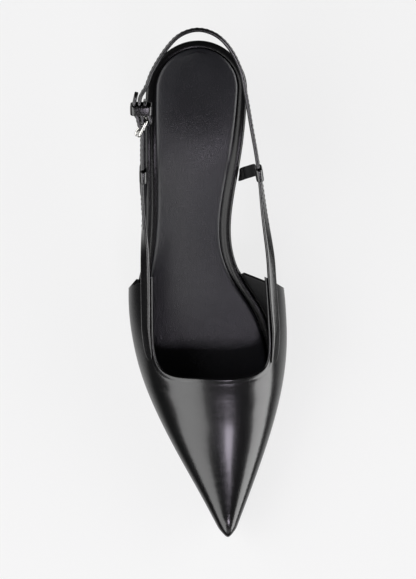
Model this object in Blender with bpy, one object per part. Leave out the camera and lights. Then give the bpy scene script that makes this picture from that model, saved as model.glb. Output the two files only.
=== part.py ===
# Slingback pump for the right foot, built at its real size in metres.
# The toe points to -Y and the heel to +Y. The inner side of the foot is +X, up is +Z.
# The origin lies on the floor, under the middle of the heel's top lift.
# "Along" is measured level from the back of the footbed towards the toe, "across" from the
# middle of the heel seat towards the inner side of the foot.

import math

import bmesh
import bpy
import numpy as np
from mathutils import Vector

# Driving sizes of the last
LAST_LENGTH = 0.2400
BALL_WIDTH = 0.0780
HEEL_HEIGHT = 0.0610
INSTEP_HEIGHT = 0.0335
TOE_SPRING = 0.0060
BACK_CURVE = 0.0240
TOE_CURVE = 0.0055
HEEL_SETBACK = 0.0170

# Walls, sheets and clearances
UPPER_WALL = 0.0015
BOARD = 0.0025
SOLE = 0.0030
SOCK = 0.0012
RIM = 0.0042
RIM_ROUND = 0.0008
TOE_ALLOWANCE = 0.0033
NOSE_DEPTH = 0.0100
GAP = 0.0003
SOLE_INSET = 0.0004
SOLE_EDGE = 0.0006
SOCK_END = 0.0160

# Heel
LIFT = 0.0050
LIFT_MARGIN = 0.0003
LIFT_EDGE = 0.0005
BREAST = 0.0480
SEAT_INSET = 0.0005

# Straps and fittings
STRAP_WIDTH = 0.0055
STRAP = 0.0018
STRAP_BEVEL = 0.0004
SLING_TOP = 0.1010
SLING_BACK = -0.0018
WIRE = 0.0007
PRONG = 0.0005
BAND_WIDTH = 0.0060
BAND = 0.0012
BAND_FOOT = 0.0010
KEEPER_WIDTH = 0.0050
KEEPER_CORNER = 0.0011
FRAME_HEIGHT = 0.0080
FRAME_LENGTH = 0.0069
FRAME_SLANT = 0.0038
FRAME_CORNER = 0.0015
HOLE_WIDTH = 0.0018
HOLE_LENGTH = 0.0034
SLOT_LENGTH = 0.0064
TAIL = 0.0108
FOLD_TAIL = 0.0085
FOLD_EASE = 0.0012

# Places of the fittings, along from the back of the footbed
BAR_ALONG = 0.0393
KEEPER_BACK = 0.0048
INNER_BAND_ALONG = 0.0645
OUTER_BAND_ALONG = 0.0655
BAND_SLANT = 0.0080

# Outline of the footbed: along in shares of LAST_LENGTH, sides in shares of BALL_WIDTH
FOOTBED = {
    "along": (0.0, 0.11, 0.23, 0.33, 0.41, 0.48, 0.54, 0.60, 0.67, 0.75, 0.85, 0.93, 1.0),
    "outer": (-0.301, -0.317, -0.321, -0.322, -0.341, -0.371, -0.382, -0.364, -0.318, -0.227,
              -0.077, 0.058, 0.163),
    "inner": (0.301, 0.301, 0.266, 0.214, 0.210, 0.284, 0.400, 0.472, 0.490, 0.446, 0.360,
              0.278, 0.210),
}

# Arch of the footbed: lift in shares of its rise from the ball to the heel
ARCH = {
    "along": (0.0, 0.104, 0.208, 0.333, 0.458, 0.583, 0.667, 0.73, 0.80, 1.0),
    "lift": (1.0, 0.982, 0.900, 0.656, 0.366, 0.121, 0.018, -0.006, -0.006, -0.006),
}
SPRING_START = 0.78

# Bare rim between the sock and the footbed's edge, in shares of RIM
SOCK_RIM = {
    "along": (0.0, 0.25, 0.40, 0.52, 0.70, 1.0),
    "outer": (0.93, 1.25, 1.18, 1.05, 1.00, 1.00),
    "inner": (0.93, 1.30, 1.35, 1.30, 1.00, 1.00),
}

# Widest line of the upper: along in shares of its length, sides in shares of BALL_WIDTH
WIDEST = {
    "along": (0.46, 0.50, 0.54, 0.60, 0.66, 0.74, 0.84, 0.92, 1.0),
    "outer": (-0.437, -0.442, -0.440, -0.417, -0.373, -0.277, -0.118, 0.022, 0.1546),
    "inner": (0.523, 0.542, 0.554, 0.5615, 0.549, 0.501, 0.406, 0.315, 0.2187),
}

# Vamp sections: height of the widest line over the footbed and of the crown over that line,
# both in shares of INSTEP_HEIGHT
SECTIONS = {
    "along": (0.46, 0.50, 0.54, 0.60, 0.66, 0.74, 0.84, 0.92, 1.0),
    "swell": (0.343, 0.328, 0.293, 0.239, 0.209, 0.185, 0.155, 0.125, 0.085),
    "crown": (0.672, 0.680, 0.704, 0.764, 0.794, 0.626, 0.425, 0.285, 0.150),
}
SECTION_POWER = 2.15
RIDGE_SHARE = 0.54

# Topline: share of the way from the outer wing's end, over the throat, to the inner wing's end
TOPLINE = {
    "way": (0.0, 0.07, 0.13, 0.175, 0.23, 0.34, 0.50, 0.66, 0.77, 0.83, 0.875, 0.93, 1.0),
    "across": (-0.297, -0.298, -0.292, -0.263, -0.195, -0.050, 0.125, 0.290, 0.385, 0.435,
               0.456, 0.447, 0.426),
    "along": (0.4706, 0.545, 0.612, 0.648, 0.668, 0.675, 0.678, 0.674, 0.664, 0.648, 0.618,
              0.552, 0.4706),
}
WING_FOOT = 0.469
WING_BULGE = 0.491
WING_CURVE = 1.55
THROAT_CORNER = 0.20
STRAP_START = 0.15
SOLE_BLEND = (0.44, 0.49)

# Straps past the wings: along in shares of LAST_LENGTH, across in shares of BALL_WIDTH
INNER_STRAP = {
    "along": (0.430, 0.350, 0.283, 0.233, 0.175, 0.117, 0.070, 0.030, 0.003),
    "across": (0.445, 0.407, 0.380, 0.355, 0.322, 0.290, 0.258, 0.195, 0.110),
}
OUTER_SLING = {
    "along": (0.003, 0.030, 0.070, 0.100),
    "across": (-0.110, -0.195, -0.275, -0.313),
}
OUTER_STRAP = {
    "along": (0.430, 0.350, 0.283, 0.233),
    "across": (-0.332, -0.336, -0.338, -0.339),
}
STRAP_LEAN = 0.24

# Bow of the strap behind the buckle: back from the bar in shares of TAIL, out in shares of STRAP
BOW = {
    "back": (0.0, 0.25, 0.50, 0.75, 1.0, 1.40),
    "out": (0.0, 0.50, 0.78, 0.76, 0.42, -0.90),
}

# Folded end of the sling strap: back in shares of FOLD_TAIL, leaning in by shares of FOLD_EASE
FOLD_END = {
    "back": (0.0, 0.30, 0.65, 1.0),
    "ease": (0.0, 0.25, 0.85, 1.0),
}

# Heel: rise from the top lift to the seat, depth and width of each section against the seat
HEEL_SECTIONS = {
    "rise": (0.0, 0.12, 0.30, 0.50, 0.68, 0.82, 0.92, 0.97, 1.0),
    "back": (0.229, 0.222, 0.200, 0.160, 0.108, 0.060, 0.028, 0.012, 0.0),
    "breast": (0.480, 0.484, 0.496, 0.530, 0.600, 0.720, 0.870, 0.960, 1.0),
    "width": (0.265, 0.270, 0.292, 0.352, 0.480, 0.660, 0.850, 0.955, 1.0),
}
HEEL_RISES = (0.0, 0.06, 0.16, 0.28, 0.40, 0.52, 0.62, 0.72, 0.80, 0.87, 0.93, 0.97, 1.0)

BALL_LEVEL = SOLE + GAP + BOARD
UPPER_LENGTH = LAST_LENGTH + TOE_ALLOWANCE


def spline(xs, ys):
    """Natural cubic spline through a short table; runs on straight past its ends."""
    xs = np.array(xs)
    ys = np.array(ys)
    count = len(xs)
    steps = np.diff(xs)
    slopes = np.diff(ys) / steps
    system = np.eye(count)
    right = np.zeros(count)
    for i in range(1, count - 1):
        system[i, i - 1] = steps[i - 1]
        system[i, i] = 2.0 * (steps[i - 1] + steps[i])
        system[i, i + 1] = steps[i]
        right[i] = 6.0 * (slopes[i] - slopes[i - 1])
    bends = np.linalg.solve(system, right)
    first = slopes[0] - steps[0] * bends[1] / 6.0
    last = slopes[-1] + steps[-1] * bends[-2] / 6.0

    def value(x):
        if x <= xs[0]:
            return float(ys[0] + first * (x - xs[0]))
        if x >= xs[-1]:
            return float(ys[-1] + last * (x - xs[-1]))
        i = int(np.searchsorted(xs, x)) - 1
        a = (xs[i + 1] - x) / steps[i]
        b = 1.0 - a
        curve = (a ** 3 - a) * bends[i] + (b ** 3 - b) * bends[i + 1]
        return float(a * ys[i] + b * ys[i + 1] + curve * steps[i] ** 2 / 6.0)

    return value


def table(rows, column, key="along"):
    return spline(rows[key], rows[column])


footbed_outer = table(FOOTBED, "outer")
footbed_inner = table(FOOTBED, "inner")
arch_lift = table(ARCH, "lift")
rim_outer = table(SOCK_RIM, "outer")
rim_inner = table(SOCK_RIM, "inner")
widest_outer = table(WIDEST, "outer")
widest_inner = table(WIDEST, "inner")
section_swell = table(SECTIONS, "swell")
section_crown = table(SECTIONS, "crown")
topline_across = table(TOPLINE, "across", "way")
topline_along = table(TOPLINE, "along", "way")
heel_back = table(HEEL_SECTIONS, "back", "rise")
heel_breast = table(HEEL_SECTIONS, "breast", "rise")
heel_width = table(HEEL_SECTIONS, "width", "rise")
bow_out = table(BOW, "out", "back")


def place(across, along, height):
    """Turns across, along and height into the shoe's own frame."""
    return Vector((across, HEEL_SETBACK - along, height))


def clear_scene():
    for old in list(bpy.data.objects):
        bpy.data.objects.remove(old, do_unlink=True)


def finish_material(name, colour, roughness, metallic=0.0):
    material = bpy.data.materials.new(name)
    material.use_nodes = True
    shader = material.node_tree.nodes["Principled BSDF"]
    shader.inputs["Base Color"].default_value = (*colour, 1.0)
    shader.inputs["Roughness"].default_value = roughness
    shader.inputs["Metallic"].default_value = metallic
    return material


def add_piece(name, points, faces, material, smooth=True):
    mesh = bpy.data.meshes.new(name)
    mesh.from_pydata([tuple(p) for p in points], [], faces)
    work = bmesh.new()
    work.from_mesh(mesh)
    bmesh.ops.recalc_face_normals(work, faces=work.faces)
    work.to_mesh(mesh)
    work.free()
    if smooth:
        mesh.shade_smooth()
        mesh.set_sharp_from_angle(angle=math.radians(35))
    piece = bpy.data.objects.new(name, mesh)
    piece.data.materials.append(material)
    bpy.context.scene.collection.objects.link(piece)
    return piece


def round_end(distance, depth):
    """Share of the full width left at a distance from a rounded end."""
    if distance >= depth:
        return 1.0
    inside = max(distance, 0.0) / depth
    return math.sqrt(max(0.0, 1.0 - (1.0 - inside) ** 2))


def top_of_footbed(along):
    share = along / LAST_LENGTH
    spring = max(0.0, share - SPRING_START) / (1.0 - SPRING_START)
    rise = (HEEL_HEIGHT - BALL_LEVEL) * arch_lift(share)
    return BALL_LEVEL + rise + TOE_SPRING * spring ** 2


def footbed_side(along, side, margin=0.0, back=0.0, tip=LAST_LENGTH):
    """Edge of the footbed, or of a sheet that lies a margin inside it, across at a place along."""
    share = along / LAST_LENGTH
    outer = footbed_outer(share) * BALL_WIDTH + margin * rim_outer(share)
    inner = footbed_inner(share) * BALL_WIDTH - margin * rim_inner(share)
    middle = (outer + inner) / 2
    edge = inner if side > 0 else outer
    ends = round_end(along - back, BACK_CURVE - back) * round_end(tip - along, TOE_CURVE)
    return middle + (edge - middle) * ends


def stations(start, tip, round_back, steps=34, round_steps=7):
    """Places along the footbed from start to tip, closer together where an end is round."""
    places = []
    first = start
    if round_back:
        depth = BACK_CURVE - start
        for i in range(1, round_steps + 3):
            angle = i / (round_steps + 3) * math.pi / 2
            places.append(start + depth * (1 - math.cos(angle)))
        first = BACK_CURVE
    span = tip - TOE_CURVE - first
    for i in range(steps + 1):
        places.append(first + span * i / steps)
    for i in range(1, round_steps):
        angle = i / round_steps * math.pi / 2
        places.append(tip - TOE_CURVE + TOE_CURVE * math.sin(angle))
    return places


def footbed_loop(start=0.0, tip=LAST_LENGTH, margin=0.0, round_back=True, steps=34):
    """Plan of a sheet as (across, along) points: back, outer side, tip, inner side."""
    rows = stations(start, tip, round_back, steps)
    back = start if round_back else 0.0
    outer = [(footbed_side(a, -1, margin, back, tip), a) for a in rows]
    inner = [(footbed_side(a, 1, margin, back, tip), a) for a in rows]
    peak = [(footbed_side(tip, 1, margin, back, tip), tip)]
    heel = [(0.0, start)] if round_back else []
    return np.array(heel + outer + peak + inner[::-1])


def loop_normals(loop, closed=True):
    """Unit normals of a plan loop that runs outer side, toe, inner side; they point outwards."""
    ahead = np.roll(loop, -1, axis=0)
    behind = np.roll(loop, 1, axis=0)
    if not closed:
        ahead[-1] = loop[-1]
        behind[0] = loop[0]
    run = ahead - behind
    normals = np.stack([-run[:, 1], run[:, 0]], axis=1)
    return normals / np.linalg.norm(normals, axis=1)[:, None]


def grow(loop, amount, closed=True):
    return loop + loop_normals(loop, closed) * np.reshape(amount, (-1, 1))


def sheet_solid(name, rings, round_back, material):
    """Closed sheet from rings of points, bottom ring first; both ends are filled across."""
    count = len(rings[0])
    points = [p for ring in rings for p in ring]
    faces = []
    for level in range(len(rings) - 1):
        low = level * count
        high = low + count
        for i in range(count):
            j = (i + 1) % count
            faces.append((low + i, low + j, high + j, high + i))
    first = 1 if round_back else 0
    tip = count // 2
    for base, flip in ((0, True), ((len(rings) - 1) * count, False)):
        cover = []
        mirror = count if round_back else count - 1
        for i in range(first, tip - 1):
            cover.append((i, i + 1, mirror - i - 1, mirror - i))
        cover.append((tip - 1, tip, tip + 1))
        if round_back:
            cover.append((0, 1, count - 1))
        for face in cover:
            order = face[::-1] if flip else face
            faces.append(tuple(base + i for i in order))
    return add_piece(name, points, faces, material)


def ring_at(loop, height):
    return [place(x, a, height(a)) for x, a in loop]


def make_insole_board(material):
    loop = footbed_loop()
    drop = BOARD
    rings = (
        ring_at(grow(loop, -RIM_ROUND / 2), lambda a: top_of_footbed(a) - drop),
        ring_at(loop, lambda a: top_of_footbed(a) - drop + RIM_ROUND / 2),
        ring_at(loop, lambda a: top_of_footbed(a) - RIM_ROUND),
        ring_at(grow(loop, -RIM_ROUND * 0.3), lambda a: top_of_footbed(a) - RIM_ROUND * 0.3),
        ring_at(grow(loop, -RIM_ROUND), top_of_footbed),
    )
    return sheet_solid("insole_board", rings, True, material)


def make_sock(material):
    loop = footbed_loop(RIM * rim_outer(0.0), LAST_LENGTH - SOCK_END, RIM)
    bevel = SOCK * 0.6
    rings = (
        ring_at(loop, lambda a: top_of_footbed(a) + GAP),
        ring_at(loop, lambda a: top_of_footbed(a) + GAP + bevel),
        ring_at(grow(loop, -bevel), lambda a: top_of_footbed(a) + GAP + SOCK),
    )
    return sheet_solid("sock", rings, True, material)


def sole_underside(along):
    """Underside of the outsole; it is worn flat where it would dip below the floor."""
    return max(0.0, top_of_footbed(along) - BALL_LEVEL)


def make_outsole(material):
    loop = footbed_loop(BREAST + GAP, round_back=False, steps=29)
    low, high = SOLE_BLEND
    blend = np.clip((loop[:, 1] / LAST_LENGTH - low) / (high - low), 0.0, 1.0)
    loop = grow(loop, blend * (GAP + UPPER_WALL - SOLE_INSET) - SOLE_INSET)

    def top(along):
        return top_of_footbed(along) - BOARD - GAP

    rings = (
        ring_at(grow(loop, -SOLE_EDGE * 2), sole_underside),
        ring_at(loop, lambda a: sole_underside(a) + SOLE_EDGE),
        ring_at(loop, top),
    )
    return sheet_solid("outsole", rings, False, material)


def resample(points, positions):
    """Points of a plan curve at shares of its length."""
    points = np.array(points)
    steps = np.linalg.norm(np.diff(points, axis=0), axis=1)
    way = np.concatenate(([0.0], np.cumsum(steps)))
    way = way / way[-1]
    columns = [np.interp(positions, way, points[:, k]) for k in range(points.shape[1])]
    return np.stack(columns, axis=1)


def widest_side(along, side):
    share = along / UPPER_LENGTH
    outer = widest_outer(share) * BALL_WIDTH
    inner = widest_inner(share) * BALL_WIDTH
    middle = (outer + inner) / 2
    edge = inner if side > 0 else outer
    return middle + (edge - middle) * round_end(UPPER_LENGTH - along, TOE_CURVE)


def plan_curve(side_function, start, tip, steps=240):
    """Dense open plan curve from the outer side, round the tip, to the inner side."""
    bend = [math.sin(i / steps * math.pi / 2) for i in range(steps + 1)]
    rows = [start + (tip - start) * b for b in bend]
    outer = [(side_function(a, -1), a) for a in rows]
    inner = [(side_function(a, 1), a) for a in rows[:-1]]
    return np.array(outer + inner[::-1])


def ridge(along):
    outer = widest_side(along, -1)
    inner = widest_side(along, 1)
    return outer + (inner - outer) * RIDGE_SHARE


def waistline(along):
    return top_of_footbed(along) + section_swell(along / UPPER_LENGTH) * INSTEP_HEIGHT


def vamp_height(across, along):
    """Height of the vamp over a place in plan, from its sections."""
    middle = ridge(along)
    side = 1 if across > middle else -1
    reach = abs(widest_side(along, side) - middle)
    off = min(1.0, abs(across - middle) / max(reach, 1e-7))
    crown = section_crown(along / UPPER_LENGTH) * INSTEP_HEIGHT
    crown *= round_end(UPPER_LENGTH - along, NOSE_DEPTH)
    return waistline(along) + crown * (1.0 - off ** SECTION_POWER) ** (1.0 / SECTION_POWER)


class Ribs:
    """Ribs of the upper: each runs from the feather edge, over the widest line, to the topline."""

    tuck_steps = 4
    crown_steps = 10

    def __init__(self, ways):
        self.ways = np.array(ways)
        footbed = plan_curve(footbed_side, WING_FOOT * LAST_LENGTH, LAST_LENGTH)
        feather = grow(footbed, GAP + UPPER_WALL, closed=False)
        widest = plan_curve(widest_side, WING_BULGE * UPPER_LENGTH, UPPER_LENGTH)
        self.feather = resample(feather, self.ways)
        self.widest = resample(widest, self.ways)

    def top(self, way):
        return topline_across(way) * BALL_WIDTH, topline_along(way) * UPPER_LENGTH

    def rib(self, index):
        fx, fa = self.feather[index]
        wx, wa = self.widest[index]
        tx, ta = self.top(self.ways[index])
        low = top_of_footbed(fa)
        points = [place(fx, fa, low - BOARD), place(fx, fa, low)]
        rise = waistline(wa)
        for i in range(1, self.tuck_steps + 1):
            share = i / self.tuck_steps
            left = (1.0 - share) ** 2
            height = low + (rise - low) * share
            points.append(place(wx + (fx - wx) * left, wa + (fa - wa) * left, height))
        middle = ridge(ta)
        side = 1 if tx > middle else -1
        reach = abs(widest_side(ta, side) - middle)
        lean = math.acos(min(1.0, (abs(tx - middle) / reach) ** (SECTION_POWER / 2.0)))
        lean = max(lean, math.radians(25))
        wing = self.wing_share(self.ways[index])
        top_height = vamp_height(tx, ta)
        for i in range(1, self.crown_steps + 1):
            share = i / self.crown_steps
            way = (1.0 - math.cos(lean * share)) / (1.0 - math.cos(lean))
            height = vamp_height(wx + (tx - wx) * way, wa + (ta - wa) * way)
            way += (share ** WING_CURVE - way) * wing
            height += (rise + (top_height - rise) * share - height) * wing
            points.append(place(wx + (tx - wx) * way, wa + (ta - wa) * way, height))
        return points

    def wing_share(self, way):
        """One in the wings, whose sides stand steep, and nothing over the vamp."""
        inside = min(way, 1.0 - way) / THROAT_CORNER
        share = min(1.0, max(0.0, 2.0 - 2.0 * inside))
        return share * share * (3.0 - 2.0 * share)


def surface_normals(grid):
    """Outward unit normals of a grid of points (way, rib, xyz)."""
    along = np.gradient(grid, axis=0)
    up = np.gradient(grid, axis=1)
    normals = np.cross(along, up)
    return normals / np.linalg.norm(normals, axis=2)[:, :, None]


def upper_ways(columns):
    """Shares of the way round the upper, closer together at the toe."""
    ways = []
    for i in range(columns + 1):
        u = 2.0 * i / columns - 1.0
        ways.append(0.5 + 0.25 * (u + u ** 3))
    return ways


def make_upper(material, columns=72):
    ribs = Ribs(upper_ways(columns))
    grid = np.array([ribs.rib(i) for i in range(columns + 1)])
    normals = surface_normals(grid)
    inside = grid - normals * UPPER_WALL
    inside[:, 0] = grid[:, 0] - flat_normals(normals[:, 0]) * UPPER_WALL
    rows = grid.shape[1]
    outer_points = grid.reshape(-1, 3)
    inner_points = inside.reshape(-1, 3)
    points = list(outer_points) + list(inner_points)
    shift = len(outer_points)

    def at(i, j):
        return i * rows + j

    faces = []
    for i in range(columns):
        for j in range(rows - 1):
            quad = (at(i, j), at(i + 1, j), at(i + 1, j + 1), at(i, j + 1))
            faces.append(quad)
            faces.append(tuple(shift + k for k in quad[::-1]))
    for i in range(columns):
        for j in (0, rows - 1):
            faces.append((at(i, j), at(i + 1, j), shift + at(i + 1, j), shift + at(i, j)))
    for j in range(rows - 1):
        for i in (0, columns):
            faces.append((at(i, j), at(i, j + 1), shift + at(i, j + 1), shift + at(i, j)))
    return add_piece("upper", points, faces, material)


def flat_normals(normals):
    level = normals.copy()
    level[:, 2] = 0.0
    return level / np.linalg.norm(level, axis=1)[:, None]


def heel_loop(steps=5):
    """Plan of the heel's seat: the footbed's own outline back to the breast."""
    rows = [a for a in stations(0.0, LAST_LENGTH, True) if a < BACK_CURVE]
    rows += [BACK_CURVE + (BREAST - BACK_CURVE) * i / steps for i in range(steps + 1)]
    outer = [(footbed_side(a, -1), a) for a in rows]
    inner = [(footbed_side(a, 1), a) for a in rows]
    loop = np.array([(0.0, 0.0)] + outer + inner[::-1])
    return grow(loop, -SEAT_INSET)


def heel_ring(rise, margin=0.0):
    """Section of the heel at a share of its rise, as (across, along) points."""
    seat = heel_loop()
    back = heel_back(rise) * BREAST - margin
    depth = heel_breast(rise) * BREAST + margin - back
    width = heel_width(rise) + margin / (footbed_inner(0.0) * BALL_WIDTH)
    return np.array([(x * width, back + a / BREAST * depth) for x, a in seat])


def loft(name, rings, material):
    count = len(rings[0])
    points = [p for ring in rings for p in ring]
    faces = []
    for level in range(len(rings) - 1):
        low = level * count
        high = low + count
        for i in range(count):
            j = (i + 1) % count
            faces.append((low + i, low + j, high + j, high + i))
    for base, flip in ((0, True), ((len(rings) - 1) * count, False)):
        half = count // 2
        cover = [(0, 1, count - 1)]
        cover += [(i, i + 1, count - i - 1, count - i) for i in range(1, half)]
        for face in cover:
            order = face[::-1] if flip else face
            faces.append(tuple(base + i for i in order))
    return add_piece(name, points, faces, material)


def make_heel(material):
    rings = []
    for rise in HEEL_RISES:
        ring = []
        for (x, a), (_, seat_along) in zip(heel_ring(rise), heel_loop()):
            seat = top_of_footbed(seat_along) - BOARD - GAP
            ring.append(place(x, a, LIFT + (seat - LIFT) * rise))
        rings.append(ring)
    return loft("heel", rings, material)


def make_heel_tip(material):
    ring = heel_ring(0.0, LIFT_MARGIN)
    low = [place(x, a, 0.0) for x, a in grow(ring, -LIFT_EDGE)]
    side = [place(x, a, LIFT_EDGE) for x, a in ring]
    high = [place(x, a, LIFT - GAP) for x, a in ring]
    return loft("heel_tip", [low, side, high], material)


def smooth_path(points, spacing):
    """Even steps along a smooth curve through 3-D points."""
    points = [np.array(p) for p in points]
    padded = [2 * points[0] - points[1]] + points + [2 * points[-1] - points[-2]]
    dense = []
    for p0, p1, p2, p3 in zip(padded, padded[1:], padded[2:], padded[3:]):
        for i in range(16):
            t = i / 16
            dense.append(0.5 * ((2 * p1) + (p2 - p0) * t + (2 * p0 - 5 * p1 + 4 * p2 - p3) * t ** 2
                                + (3 * p1 - p0 - 3 * p2 + p3) * t ** 3))
    dense.append(points[-1])
    length = np.sum(np.linalg.norm(np.diff(np.array(dense), axis=0), axis=1))
    count = max(2, round(length / spacing))
    return [Vector(p) for p in resample(dense, np.linspace(0.0, 1.0, count + 1))]


def band_piece(name, centres, ups, width, thickness, material, widths=None):
    """Flat band with softened edges, swept along centres; ups lie across its width."""
    count = len(centres)
    half_w = width / 2
    half_t = thickness / 2
    cut = min(STRAP_BEVEL, half_t * 0.45)
    profile = ((-half_w, half_t - cut), (-half_w + cut, half_t), (half_w - cut, half_t),
               (half_w, half_t - cut), (half_w, -half_t + cut), (half_w - cut, -half_t),
               (-half_w + cut, -half_t), (-half_w, -half_t + cut))
    points = []
    for i in range(count):
        run = centres[min(i + 1, count - 1)] - centres[max(i - 1, 0)]
        run.normalize()
        up = ups[i] - run * ups[i].dot(run)
        up.normalize()
        out = run.cross(up)
        share = widths[i] if widths else 1.0
        for u, v in profile:
            points.append(centres[i] + up * u * share + out * v)
    sides = len(profile)
    faces = []
    for i in range(count - 1):
        for k in range(sides):
            n = (k + 1) % sides
            faces.append((i * sides + k, i * sides + n, (i + 1) * sides + n, (i + 1) * sides + k))
    faces.append(tuple(range(sides))[::-1])
    faces.append(tuple((count - 1) * sides + k for k in range(sides)))
    return add_piece(name, points, faces, material)


def wing_strap(side):
    """Stations of the strap that lies on a wing, from the throat corner to the wing's end."""
    start = STRAP_START if side < 0 else 1.0 - STRAP_START
    end = 0.0 if side < 0 else 1.0
    count = 8
    ways = [start + (end - start) * i / count for i in range(count + 1)]
    ribs = Ribs(ways)
    tops = []
    lows = []
    for i in range(count + 1):
        rib = ribs.rib(i)[ribs.tuck_steps + 1:]
        line = np.array([tuple(p) for p in rib])[::-1]
        steps = np.linalg.norm(np.diff(line, axis=0), axis=1)
        way = np.concatenate(([0.0], np.cumsum(steps)))
        low = [np.interp(STRAP_WIDTH, way, line[:, k]) for k in range(3)]
        tops.append(Vector(line[0]))
        lows.append(Vector(low))
    centres = []
    ups = []
    for i in range(count + 1):
        run = tops[min(i + 1, count)] - tops[max(i - 1, 0)]
        up = (tops[i] - lows[i]).normalized()
        out = run.cross(up).normalized()
        if out.x * side < 0:
            out.negate()
        middle = (tops[i] + lows[i]) / 2
        centres.append(middle + out * (GAP * 1.6 + STRAP / 2))
        ups.append(up)
    return centres, ups


def strap_height(along, wing_end):
    """The straps climb evenly from the wing's end to the back of the heel."""
    start = HEEL_SETBACK - wing_end.y
    share = (start - along) / (start - SLING_BACK)
    return wing_end.z + (SLING_TOP - wing_end.z) * share


def free_points(rows, wing_end):
    points = []
    for share, across in zip(rows["along"], rows["across"]):
        along = share * LAST_LENGTH
        points.append(place(across * BALL_WIDTH, along, strap_height(along, wing_end)))
    return points


def blended_ups(centres, first, reach, lean=0.0):
    """Across-direction of a strap that leaves a wing, leans out on its way and ends upright."""
    ups = []
    way = 0.0
    total = sum((b - a).length for a, b in zip(centres, centres[1:]))
    for i, centre in enumerate(centres):
        if i:
            way += (centre - centres[i - 1]).length
        share = min(1.0, way / reach)
        share = share * share * (3 - 2 * share)
        tilt = lean * math.sin(math.pi * way / total)
        ups.append(first.lerp(Vector((tilt, 0.0, 1.0)), share).normalized())
    return ups


def past_wing(line, wing):
    """The part of a path that has left the wing for good."""
    skip = next(i for i, p in enumerate(line) if p.y > wing[-1].y + STRAP_WIDTH * 0.4)
    return line[skip:]


class Buckle:
    """Places of the buckle on the outer strap, in its tilted plane."""

    def __init__(self, wing_end):
        self.wing_end = wing_end
        self.bar_along = BAR_ALONG
        self.rod_along = BAR_ALONG + FRAME_LENGTH
        self.strap_x = OUTER_STRAP["across"][-1] * BALL_WIDTH
        self.rod_x = self.strap_x - STRAP / 2 - GAP - WIRE
        self.bar_x = self.rod_x + FRAME_SLANT
        self.fold = WIRE + GAP + STRAP / 2
        self.sling_x = self.bar_x - self.fold
        self.tail_x = self.sling_x - STRAP - GAP
        self.back = (self.at(0.0, 0.0) - self.at(0.0, BAR_ALONG)).normalized()
        self.up = Vector((1.0, 0.0, 0.0)).cross(self.back).normalized()

    def at(self, across, along):
        return place(across, along, strap_height(along, self.wing_end))

    def behind(self, across, share):
        """A place behind the bar, at a share of the tail's length, out with the strap's bow."""
        return self.at(across - bow_out(share) * STRAP, self.bar_along - share * TAIL)

    def folded_x(self, back):
        """Across, of the sling strap's folded end at a distance behind the bar."""
        ease = np.interp(back / FOLD_TAIL, FOLD_END["back"], FOLD_END["ease"])
        return self.bar_x + self.fold - FOLD_EASE * ease

    def between(self, share):
        """Along, at a share of the way from the bar to the front rod."""
        return self.bar_along + (self.rod_along - self.bar_along) * share


def make_strap_sling(material, inner_end, buckle):
    wing, wing_ups = wing_strap(1)
    free = free_points(INNER_STRAP, inner_end)
    back = place(0.0, SLING_BACK, SLING_TOP)
    outer = []
    for share, across in zip(OUTER_SLING["along"], OUTER_SLING["across"]):
        outer.append(buckle.at(across * BALL_WIDTH, share * LAST_LENGTH))
    outer += [buckle.behind(buckle.sling_x, share) for share in (1.0, 0.75, 0.5, 0.25, 0.09)]
    line = smooth_path([wing[-2], wing[-1]] + free + [back] + outer, STRAP_WIDTH * 0.72)
    line = past_wing(line, wing)
    ups = blended_ups(line, wing_ups[-1], LAST_LENGTH * 0.31)
    fold = []
    for i in range(1, 8):
        angle = i / 8 * math.pi
        x = buckle.bar_x - buckle.fold * math.cos(angle)
        along = buckle.bar_along + buckle.fold * math.sin(angle)
        fold.append(buckle.at(x, along))
    tail = []
    for share in FOLD_END["back"]:
        back_by = share * FOLD_TAIL
        tail.append(buckle.behind(buckle.folded_x(back_by), back_by / TAIL))
    centres = wing + line + fold + tail
    all_ups = wing_ups + ups + [buckle.up] * (len(fold) + len(tail))
    return band_piece("strap_sling", centres, all_ups, STRAP_WIDTH, STRAP, material)


def make_strap_lateral(material, wing, wing_ups, buckle):
    free = free_points(OUTER_STRAP, wing[-1])
    bend = []
    for share, way in ((0.0, 1.04), (0.25, 0.68), (0.75, 0.32), (1.0, -0.04)):
        x = buckle.strap_x + (buckle.tail_x - buckle.strap_x) * share
        bend.append(buckle.at(x, buckle.between(way)))
    tail = [buckle.behind(buckle.tail_x - GAP, share) for share in (0.25, 0.45, 0.72, 1.0)]
    line = smooth_path([wing[-2], wing[-1]] + free + bend + tail, STRAP_WIDTH * 0.6)
    line = past_wing(line, wing)
    ups = blended_ups(line, wing_ups[-1], LAST_LENGTH * 0.19, -STRAP_LEAN)
    last = line[-1] - line[-2]
    tip = [line[-1] + last * reach for reach in (0.25, 0.42, 0.50)]
    centres = wing + line + tip
    all_ups = wing_ups + ups + [ups[-1]] * len(tip)
    widths = [1.0] * (len(wing) + len(line) - 1) + [0.94, 0.78, 0.55, 0.30]
    return band_piece("strap_lateral", centres, all_ups, STRAP_WIDTH, STRAP, material, widths)


def ring_piece(name, path, radius, sides, material):
    """Closed wire through a loop of points that lie in one plane."""
    count = len(path)
    middle = sum(path, Vector()) / count
    plane = (path[0] - middle).cross(path[count // 4] - middle).normalized()
    points = []
    for i in range(count):
        run = (path[(i + 1) % count] - path[i - 1]).normalized()
        out = run.cross(plane).normalized()
        for k in range(sides):
            angle = 2 * math.pi * k / sides
            points.append(path[i] + out * math.cos(angle) * radius + plane * math.sin(angle) * radius)
    faces = []
    for i in range(count):
        for k in range(sides):
            n = (k + 1) % sides
            j = (i + 1) % count
            faces.append((i * sides + k, i * sides + n, j * sides + n, j * sides + k))
    return add_piece(name, points, faces, material)


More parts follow.
